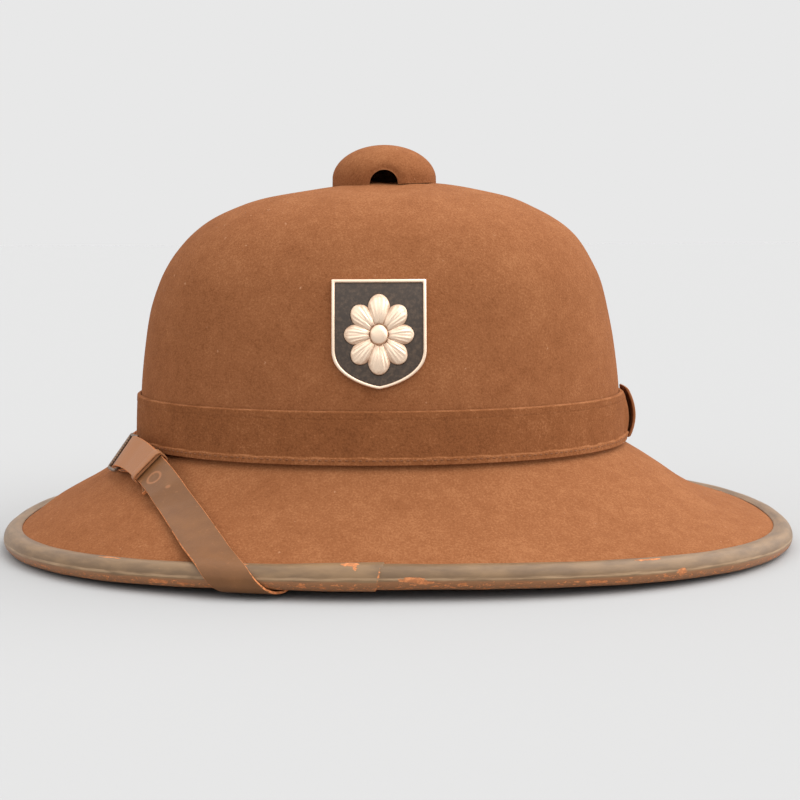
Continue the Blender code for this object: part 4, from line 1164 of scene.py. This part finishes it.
def ribbon(name, route, path, node, drift, marks):
    """A strap of even thickness: a rounded section carried along a smoothed line of distances and rises.

    The drift moves each station sideways as a share of half the strap's width. The marks are a function of
    the distance, the share across, the share through the thickness and the place along the whole line."""
    path = np.array(path)
    coarse = run_along(path)
    run = np.arange(0.0, coarse[-1], 0.0006)
    spots = smooth_rows(coarse, np.column_stack([path, drift]), run)
    heading = unit(np.gradient(spots[:, :2], axis=0))
    across, thick = strap_section()
    lift = STRAP_THICKNESS * thick[None, :]
    along = spots[:, :1] + lift * heading[:, 1:2]
    rise = spots[:, 1:2] - lift * heading[:, :1]
    share = across[None, :] - spots[:, 2:3]
    found = marks(along, across[None, :], thick[None, :], run[:, None], coarse[-1])
    pressed = found.pop("depth", 0.0 * along)
    grid = strap_points(route, along + 0.0 * share, share, rise - pressed)
    piece = make_surface(name, grid, [chin_leather()], ends="cap", marks=found, sharp=60.0)
    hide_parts(node)
    return piece


def leather_marks(along, across, thick, run, length):
    """Raw edge at the cut sides, fraying in by a quarter of a millimetre, and raw ends."""
    edge = 1.15 * smoothstep((np.abs(across) - 0.955) / 0.025)
    ends = 1.3 * smoothstep(1.0 - np.minimum(run, length - run) / 0.0006)
    return {"raw": np.maximum(edge, ends) + 0.0 * along, "folded": 0.0 * along + 0.0 * across,
            "pressed": 0.0 * along + 0.0 * across}


class HELMET_OT_strap(Operator):
    """Chin strap: the left part from under the brim round the buckle's bar and back to the keeper, and the
    right part from under the buckle round the front, each a section carried along its line"""
    bl_idname = "helmet.strap"
    bl_label = "Chin Strap"

    def execute(self, context):
        route = strap_route()
        keeper = route[4]
        end = route[0][-1] - BUCKLE_PLACE
        layer, bar_height, bar_place = strap_layers()
        settled = keeper + TAIL_LENGTH + SETTLE_LENGTH
        lower = [(place, layer * float(smoothstep((settled - place) / TAIL_LENGTH)))
                 for place in stations_between(route, bar_place + BUCKLE_BAR, end)]
        loop = BUCKLE_BAR / 2.0 + GAP + STRAP_THICKNESS
        hook = [(bar_place - loop * math.cos(turn), bar_height + loop * math.sin(turn))
                for turn in np.linspace(-math.pi / 2.0, math.pi / 2.0, 17)]
        top = 2.0 * layer + STRAP_THICKNESS
        crest = bar_height + loop
        last = keeper + KEEPER_LENGTH / 2.0
        start = bar_place + BUCKLE_BAR
        fold = [*np.linspace(start, bar_place + FOLD_LENGTH, 5),
                *stations_between(route, start + FOLD_LENGTH, last)[::-1]]
        back = [(place, crest + (top - crest) * float(smoothstep((place - start) / FOLD_LENGTH)))
                for place in fold]

        def left_marks(along, across, thick, run, length):
            """Pale fold, pale wrap as painted light on the downward-facing stretch, and the stamped ring and
            nick, as bell curves of the distance.
            """
            found = leather_marks(along, across, thick, run, length)
            folding = length - run
            found["folded"] = smoothstep((keeper - folding) / 0.004) + 0.0 * along
            from_edge = across * STRAP_WIDTH / 2.0
            out_of = np.hypot(along - keeper - STAMP_PLACE, from_edge + 0.0012) / STAMP_RADIUS
            face = (thick > 0.5) & (along > keeper + 0.002)
            ring = np.exp(-((out_of - 1.0) / 0.20) ** 2) * face
            nick = np.exp(-((along - keeper - NICK_PLACE) / 0.0009) ** 2
                          - ((from_edge - 0.0012) / 0.0013) ** 2) * face
            found["pressed"] = np.maximum(ring, nick)
            found["depth"] = -0.00008 * ring + 0.00014 * np.exp(-(out_of / 0.75) ** 4) * face
            wrapped = smoothstep((along - (end - STRAP_UNDER_LENGTH - 0.0150)) / 0.010)
            found["raw"] = np.maximum(found["raw"], 0.70 * wrapped)
            # Painted light: the stretch near the wrap, whose lower part faces down, is made paler and pinker.
            found["folded"] = np.maximum(found["folded"], 0.55 * wrapped)
            return found

        path = lower + hook + back
        ribbon("strap_buckled", route, path, "strap_left", np.zeros(len(path)), left_marks)

        near = stations_between(route, -BUCKLE_PLACE, keeper + TAIL_LENGTH)
        path = [(place, 0.0) for place in (*near, *(-route[0][1:] - BUCKLE_PLACE))]
        past_keeper = np.array([place - keeper - KEEPER_LENGTH for place, _ in path])
        drift = TAIL_DRIFT * np.clip(past_keeper / (TAIL_LENGTH - KEEPER_LENGTH), 0.0, 1.0)

        def right_marks(along, across, thick, run, length):
            """Raw hide at the end under the keeper."""
            found = leather_marks(along, across, thick, run, length)
            found["raw"] = np.maximum(found["raw"], smoothstep((0.009 - run) / 0.003) * 0.8)
            return found

        ribbon("strap_tail", route, path, "strap_right", drift, right_marks)
        return {"FINISHED"}


class HELMET_OT_keeper(Operator):
    """Keeper: a narrow leather loop, two rounded rectangles given by powers of the sine and cosine, one
    carried round the other and round the layers of strap"""
    bl_idname = "helmet.keeper"
    bl_label = "Keeper"

    def execute(self, context):
        route = strap_route()
        keeper = route[4]
        layer, _, _ = strap_layers()
        low = -GAP - KEEPER_THICKNESS / 2.0
        high = 2.0 * layer + STRAP_THICKNESS + GAP + KEEPER_THICKNESS / 2.0
        side = STRAP_WIDTH / 2.0 + GAP + KEEPER_THICKNESS / 2.0
        turn = around(96)[:, None]
        across = side * np.sign(np.cos(turn)) * np.abs(np.cos(turn)) ** 0.28
        rise = (low + high) / 2.0 + (high - low) / 2.0 * np.sign(np.sin(turn)) * np.abs(np.sin(turn)) ** 0.5
        spin = around(16)[None, :]
        thick = KEEPER_THICKNESS / 2.0 * np.sign(np.sin(spin)) * np.abs(np.sin(spin)) ** 0.6
        wide = KEEPER_LENGTH / 2.0 * np.sign(np.cos(spin)) * np.abs(np.cos(spin)) ** 0.4
        out = unit(np.stack([np.gradient(rise[:, 0]), -np.gradient(across[:, 0])], axis=-1))
        grid = strap_points(route, keeper + wide + 0.0 * turn,
                            (across - thick * -out[:, :1]) / (STRAP_WIDTH / 2.0),
                            rise - thick * -out[:, 1:])
        zero = np.zeros(grid.shape[:2])
        edge = smoothstep((np.abs(wide) / (KEEPER_LENGTH / 2.0) - 0.93) / 0.06) + zero
        piece = make_surface("strap_loop", grid, [chin_leather()], rows_close=True,
                             marks={"raw": 0.9 * edge, "folded": zero + 0.9, "pressed": zero}, sharp=60.0)
        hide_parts("strap_keeper")
        return {"FINISHED"}


class HELMET_OT_buckle(Operator):
    """Buckle: a rounded rectangle of bar, its section a circle ribbed by a cosine along the two bars, and
    flattened to an ellipse at the far bar"""
    bl_idname = "helmet.buckle"
    bl_label = "Buckle"

    def execute(self, context):
        metal = context.scene.helmet_metal
        route = strap_route()
        _, bar_height, bar_place = strap_layers()
        radius = BUCKLE_BAR / 2.0
        side = STRAP_WIDTH / 2.0 + BUCKLE_SIDE_GAP + radius
        corner = BUCKLE_BAR * 0.8
        legs = []
        for first, (sign_along, sign_across) in enumerate(((1, 1), (-1, 1), (-1, -1), (1, -1))):
            arc = (first + np.linspace(0.0, 1.0, 9)) * math.pi / 2.0
            legs.append(np.stack([sign_along * (bar_place - corner) + corner * np.cos(arc),
                                  sign_across * (side - corner) + corner * np.sin(arc),
                                  np.cos(arc), np.sin(arc)], axis=1))
        path = []
        for first in range(4):
            path.append(legs[first])
            start, stop = legs[first][-1], legs[(first + 1) % 4][0]
            path.append(start + (stop - start) * np.linspace(0.0, 1.0, 42)[1:-1, None])
        path = np.concatenate(path)
        spin = around(20)[None, :]
        ribbed = smoothstep((side - corner - np.abs(path[:, 1:2])) / 0.001)
        rib = ribbed * np.cos(2.0 * math.pi * path[:, 1:2] / 0.0012)
        size = radius * (0.95 + 0.05 * rib) + 0.0 * spin
        is_far = smoothstep((-path[:, :1] - bar_place + corner) / corner)
        wide = size * (1.0 + 1.3 * is_far)
        along = path[:, :1] + wide * np.cos(spin) * path[:, 2:3]
        across = path[:, 1:2] + wide * np.cos(spin) * path[:, 3:4]
        far_height = STRAP_THICKNESS + 2.0 * GAP + radius
        slope = far_height + (bar_height - far_height) * (path[:, :1] + bar_place) / (2.0 * bar_place)
        grid = strap_points(route, along, across / (STRAP_WIDTH / 2.0), slope + size * np.sin(spin))
        steel = finish("brown_lacquer", lacquered_steel, metal.lacquer, metal.rubbed)
        piece = make_surface("strap_buckle", grid[::-1], [steel], rows_close=True,
                             marks={"ridge": (0.5 + 0.5 * rib + 0.0 * spin)[::-1]}, sharp=60.0)
        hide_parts("buckle")
        return {"FINISHED"}


def stitch_row(name, starts, stops, outward, radius):
    """Stitches as capsules: six sided rings whose radius follows a semicircle from one end to the other,
    bowed off the cloth by a parabola."""
    share = np.linspace(0.0, 1.0, 7)
    swell = radius * np.sqrt(np.clip(1.0 - (2.0 * share - 1.0) ** 4, 0.03, 1.0))
    axis = unit(stops - starts)
    side = unit(np.cross(outward, axis))
    spin = around(6)
    middle = starts[:, None] + (stops - starts)[:, None] * share[None, :, None]
    middle = middle + (radius * (0.9 - 1.8 * (2.0 * share - 1.0) ** 2))[None, :, None] * outward[:, None]
    rings = (middle[:, :, None]
             + (swell[:, None] * np.cos(spin))[None, :, :, None] * side[:, None, None]
             + (swell[:, None] * np.sin(spin))[None, :, :, None] * outward[:, None, None])
    count, rows, columns = rings.shape[:3]
    squares = grid_faces(rows, columns, False, True)
    caps = [list(range(columns))[::-1], [(rows - 1) * columns + spot for spot in range(columns)]]
    faces = []
    for stitch in range(count):
        first = stitch * rows * columns
        faces += (squares + first).tolist()
        faces += [[first + spot for spot in cap] for cap in caps]
    mesh = bpy.data.meshes.new(name)
    mesh.from_pydata(rings.reshape(-1, 3).tolist(), [], faces)
    mesh.materials.append(thread())
    mesh.validate()
    mesh.shade_smooth()
    piece = bpy.data.objects.new(name, mesh)
    bpy.context.scene.collection.objects.link(piece)
    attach(piece, "root")
    return piece


def ring_stitches(name, height, offset):
    """A row of stitches round the crown at a height and an offset, spaced evenly along the oval."""
    sizes = bpy.context.scene.helmet_stitch
    dense = crown_points(around(2880), height, offset)
    run = run_along(np.concatenate([dense, dense[:1]]))
    count = int(run[-1] / sizes.spacing)
    begin = np.arange(count) * run[-1] / count
    turn = np.append(around(2880), 2.0 * math.pi)
    first = crown_points(np.interp(begin, run, turn), height, offset)
    last = crown_points(np.interp(begin + sizes.length, run, turn), height, offset)
    middle = (last + first) / 2.0
    widening = (CROWN_LENGTH / CROWN_WIDTH) ** 2
    outward = unit((middle - (CROWN_SHIFT, 0.0, 0.0)) * (1.0, widening, 0.0))
    return stitch_row(name, first, last, outward, sizes.thread)


class HELMET_OT_stitches(Operator):
    """Seams: evenly spaced stitches along the band's hem, and across the strap's sewn ends"""
    bl_idname = "helmet.stitches"
    bl_label = "Stitches"

    def execute(self, context):
        sizes = context.scene.helmet_stitch
        hem_line = BAND_LIFT + HEM_HEIGHT - HEM_SEAM
        ring_stitches("hem_stitches", hem_line, GAP + HEM_THICKNESS - sizes.thread * 0.6)
        route = strap_route()
        end = route[0][-1] - BUCKLE_PLACE
        places = end - np.array(STRAP_SEAMS)
        mirrored = -places - 2.0 * BUCKLE_PLACE
        pairs = np.stack([places, mirrored], axis=1).ravel()
        spots = np.tile(np.linspace(-0.80, 0.80, STRAP_SEAM_STITCHES), len(pairs))
        along = np.repeat(pairs, STRAP_SEAM_STITCHES)
        step = sizes.length / STRAP_WIDTH
        lift = np.full(len(spots), STRAP_THICKNESS)
        starts = strap_points(route, along, spots - step, lift)
        stops = strap_points(route, along, spots + step, lift)
        on_face = strap_points(route, along, spots, lift)
        ups = unit(strap_points(route, along, spots, 2.0 * lift) - on_face)
        stitch_row("strap_stitches", starts, stops, ups, sizes.thread)
        return {"FINISHED"}


class HELMET_OT_stage(Operator):
    """Stage: a matte floor that meets an even backdrop, soft light from the right and from above, and the
    camera at the picture's angle"""
    bl_idname = "helmet.stage"
    bl_label = "Stage, Light and Camera"

    def execute(self, context):
        scene = context.scene
        stage = scene.helmet_stage
        size = stage.floor_size
        mesh = bpy.data.meshes.new("floor")
        corners = [(-size, -size, 0.0), (size, -size, 0.0), (size, size, 0.0), (-size, size, 0.0)]
        mesh.from_pydata([(x, y, -0.0002) for x, y, _ in corners], [], [(0, 1, 2, 3)])
        material, _, shader = start_material("matte_paper")
        shader.inputs["Base Color"].default_value = rgba(stage.floor)
        shader.inputs["Roughness"].default_value = 1.0
        shader.inputs["Specular IOR Level"].default_value = 0.0
        mesh.materials.append(material)
        floor = bpy.data.objects.new("floor", mesh)
        scene.collection.objects.link(floor)

        world = bpy.data.worlds.new("even_backdrop")
        world.use_nodes = True
        world.node_tree.nodes["Background"].inputs["Color"].default_value = rgba(stage.backdrop)
        scene.world = world
        scene.view_settings.view_transform = "Standard"

        for name, toward, power, spread in (
                ("key_light", (-0.75, 0.0, -0.66), stage.key, 90.0),
                ("top_light", (0.15, 0.15, -0.98), stage.top, 130.0)):
            lamp = bpy.data.lights.new(name, "SUN")
            lamp.energy = power
            lamp.angle = math.radians(spread)
            lit = bpy.data.objects.new(name, lamp)
            lit.matrix_world = Vector(toward).to_track_quat("-Z", "Y").to_matrix().to_4x4()
            scene.collection.objects.link(lit)

        lens = bpy.data.cameras.new("camera")
        lens.lens = stage.lens
        lens.sensor_width = 36.0
        lens.clip_start = 0.01
        camera = bpy.data.objects.new("camera", lens)
        camera.matrix_world = (Matrix.Translation(CAMERA_PLACE) @ Matrix.Rotation(CAMERA_TURN, 4, "X")
                               @ Matrix.Rotation(CAMERA_ROLL, 4, "Z"))
        scene.collection.objects.link(camera)
        scene.camera = camera
        return {"FINISHED"}


def colour(name, text, code):
    """A colour setting with its hex default."""
    return FloatVectorProperty(name=name, description=text, subtype="COLOR", size=3, min=0.0, max=1.0,
                               default=linear(code))


class HelmetFelt(PropertyGroup):
    """Colours and nap of the felt"""
    colour: colour("Felt", "Colour of the crown and brim", "#885535")
    dark: colour("Felt shadow", "Colour between the fibres", "#744528")
    light: colour("Felt light", "Colour of the fibre ends", "#9a6643")
    band: colour("Band", "Colour of the band and its tab", "#814f2f")
    fleck: colour("Lint", "Colour of the pale specks", "#c99a78")
    thread: colour("Thread", "Colour of the sewing thread", "#855434")
    nap: FloatProperty(name="Nap", description="Width of a tuft of the nap", default=0.0008, min=0.0004,
                       max=0.004, unit="LENGTH")


class HelmetLeather(PropertyGroup):
    """Colours of the binding and the strap"""
    paint: colour("Paint", "Olive brown paint of the binding", "#84684a")
    paint_dark: colour("Dark paint", "Paint in its darker patches", "#6b533b")
    # Paler, oranger paint standing in for light on the binding's shaded underside: painted light.
    lit_underside_paint: colour("Low paint", "Paint on the binding's underside", "#90603c")
    paint_worn: colour("Worn paint", "Paint rubbed pale", "#a78969")
    raw: colour("Raw hide", "Hide under the paint and at cut edges", "#dc8a55")
    strap: colour("Strap", "Face of the strap", "#7b5230")
    strap_dark: colour("Dark strap", "Face of the strap in its darker patches", "#6d482b")
    # Also used as painted light near the strap's wrap round the binding.
    strap_pale: colour("Folded strap", "Strap where it folds back", "#9f6a45")


class HelmetMetal(PropertyGroup):
    """Colours of the badge and the buckle"""
    silver: colour("Silver", "Silver wash on the badge", "#f0d6bd")
    tarnish: colour("Tarnish", "Brown in the badge's low lines", "#a8846a")
    ground: colour("Field", "Dark enamel of the shield", "#33261b")
    scratched: colour("Scratches", "Scratches in the enamel", "#66513f")
    lacquer: colour("Lacquer", "Brown lacquer of the buckle", "#543d2b")
    rubbed: colour("Rubbed metal", "Metal where the lacquer is gone", "#8f7158")


class HelmetStitch(PropertyGroup):
    """Sizes of the sewing"""
    length: FloatProperty(name="Stitch", description="Length of one stitch", default=0.0019, min=0.0005,
                          max=0.006, unit="LENGTH")
    spacing: FloatProperty(name="Spacing", description="From one stitch to the next", default=0.0026,
                           min=0.001, max=0.010, unit="LENGTH")
    thread: FloatProperty(name="Thread", description="Half the thread's thickness", default=0.00022,
                          min=0.0001, max=0.001, unit="LENGTH")


class HelmetStage(PropertyGroup):
    """Floor, light and lens"""
    floor: colour("Floor", "Floor, which the lights raise to the backdrop's tone", "#aaaaaa")
    backdrop: colour("Backdrop", "Even backdrop", "#e8e8e8")
    floor_size: FloatProperty(name="Floor size", description="Half the floor's side", default=40.0, min=1.0,
                              unit="LENGTH")
    key: FloatProperty(name="Key", description="Strength of the light from the right", default=3.0, min=0.0)
    top: FloatProperty(name="Top", description="Strength of the light from above", default=1.8, min=0.0)
    lens: FloatProperty(name="Lens", description="Focal length of the camera in millimetres", default=70.0,
                        min=20.0, max=300.0)


class HELMET_PT_panel(Panel):
    """Lists the helmet's pieces and their settings"""
    bl_idname = "HELMET_PT_panel"
    bl_label = "Sun Helmet"
    bl_space_type = "VIEW_3D"
    bl_region_type = "UI"
    bl_category = "Helmet"

    def draw(self, context):
        layout = self.layout
        for operator in OPERATORS:
            layout.operator(operator.bl_idname)
        for name, group in GROUPS:
            box = layout.box()
            for setting in group.__annotations__:
                box.prop(getattr(context.scene, name), setting)


GROUPS = (
    ("helmet_felt", HelmetFelt),
    ("helmet_leather", HelmetLeather),
    ("helmet_metal", HelmetMetal),
    ("helmet_stitch", HelmetStitch),
    ("helmet_stage", HelmetStage),
)

OPERATORS = (
    HELMET_OT_felt,
    HELMET_OT_band,
    HELMET_OT_binding,
    HELMET_OT_button,
    HELMET_OT_tab,
    HELMET_OT_badge,
    HELMET_OT_strap,
    HELMET_OT_keeper,
    HELMET_OT_buckle,
    HELMET_OT_stitches,
    HELMET_OT_stage,
)


def register():
    """Adds the settings, the operators and the panel."""
    for name, group in GROUPS:
        bpy.utils.register_class(group)
        setattr(bpy.types.Scene, name, PointerProperty(type=group))
    for operator in OPERATORS:
        bpy.utils.register_class(operator)
    bpy.utils.register_class(HELMET_PT_panel)


def unregister():
    """Takes them away again."""
    bpy.utils.unregister_class(HELMET_PT_panel)
    for operator in reversed(OPERATORS):
        bpy.utils.unregister_class(operator)
    for name, group in reversed(GROUPS):
        delattr(bpy.types.Scene, name)
        bpy.utils.unregister_class(group)


def main():
    """Makes every piece in order."""
    register()
    bpy.ops.helmet.felt()
    bpy.ops.helmet.band()
    bpy.ops.helmet.binding()
    bpy.ops.helmet.button()
    bpy.ops.helmet.tab()
    bpy.ops.helmet.badge()
    bpy.ops.helmet.strap()
    bpy.ops.helmet.keeper()
    bpy.ops.helmet.buckle()
    bpy.ops.helmet.stitches()
    bpy.ops.helmet.stage()


if __name__ == "__main__":
    main()
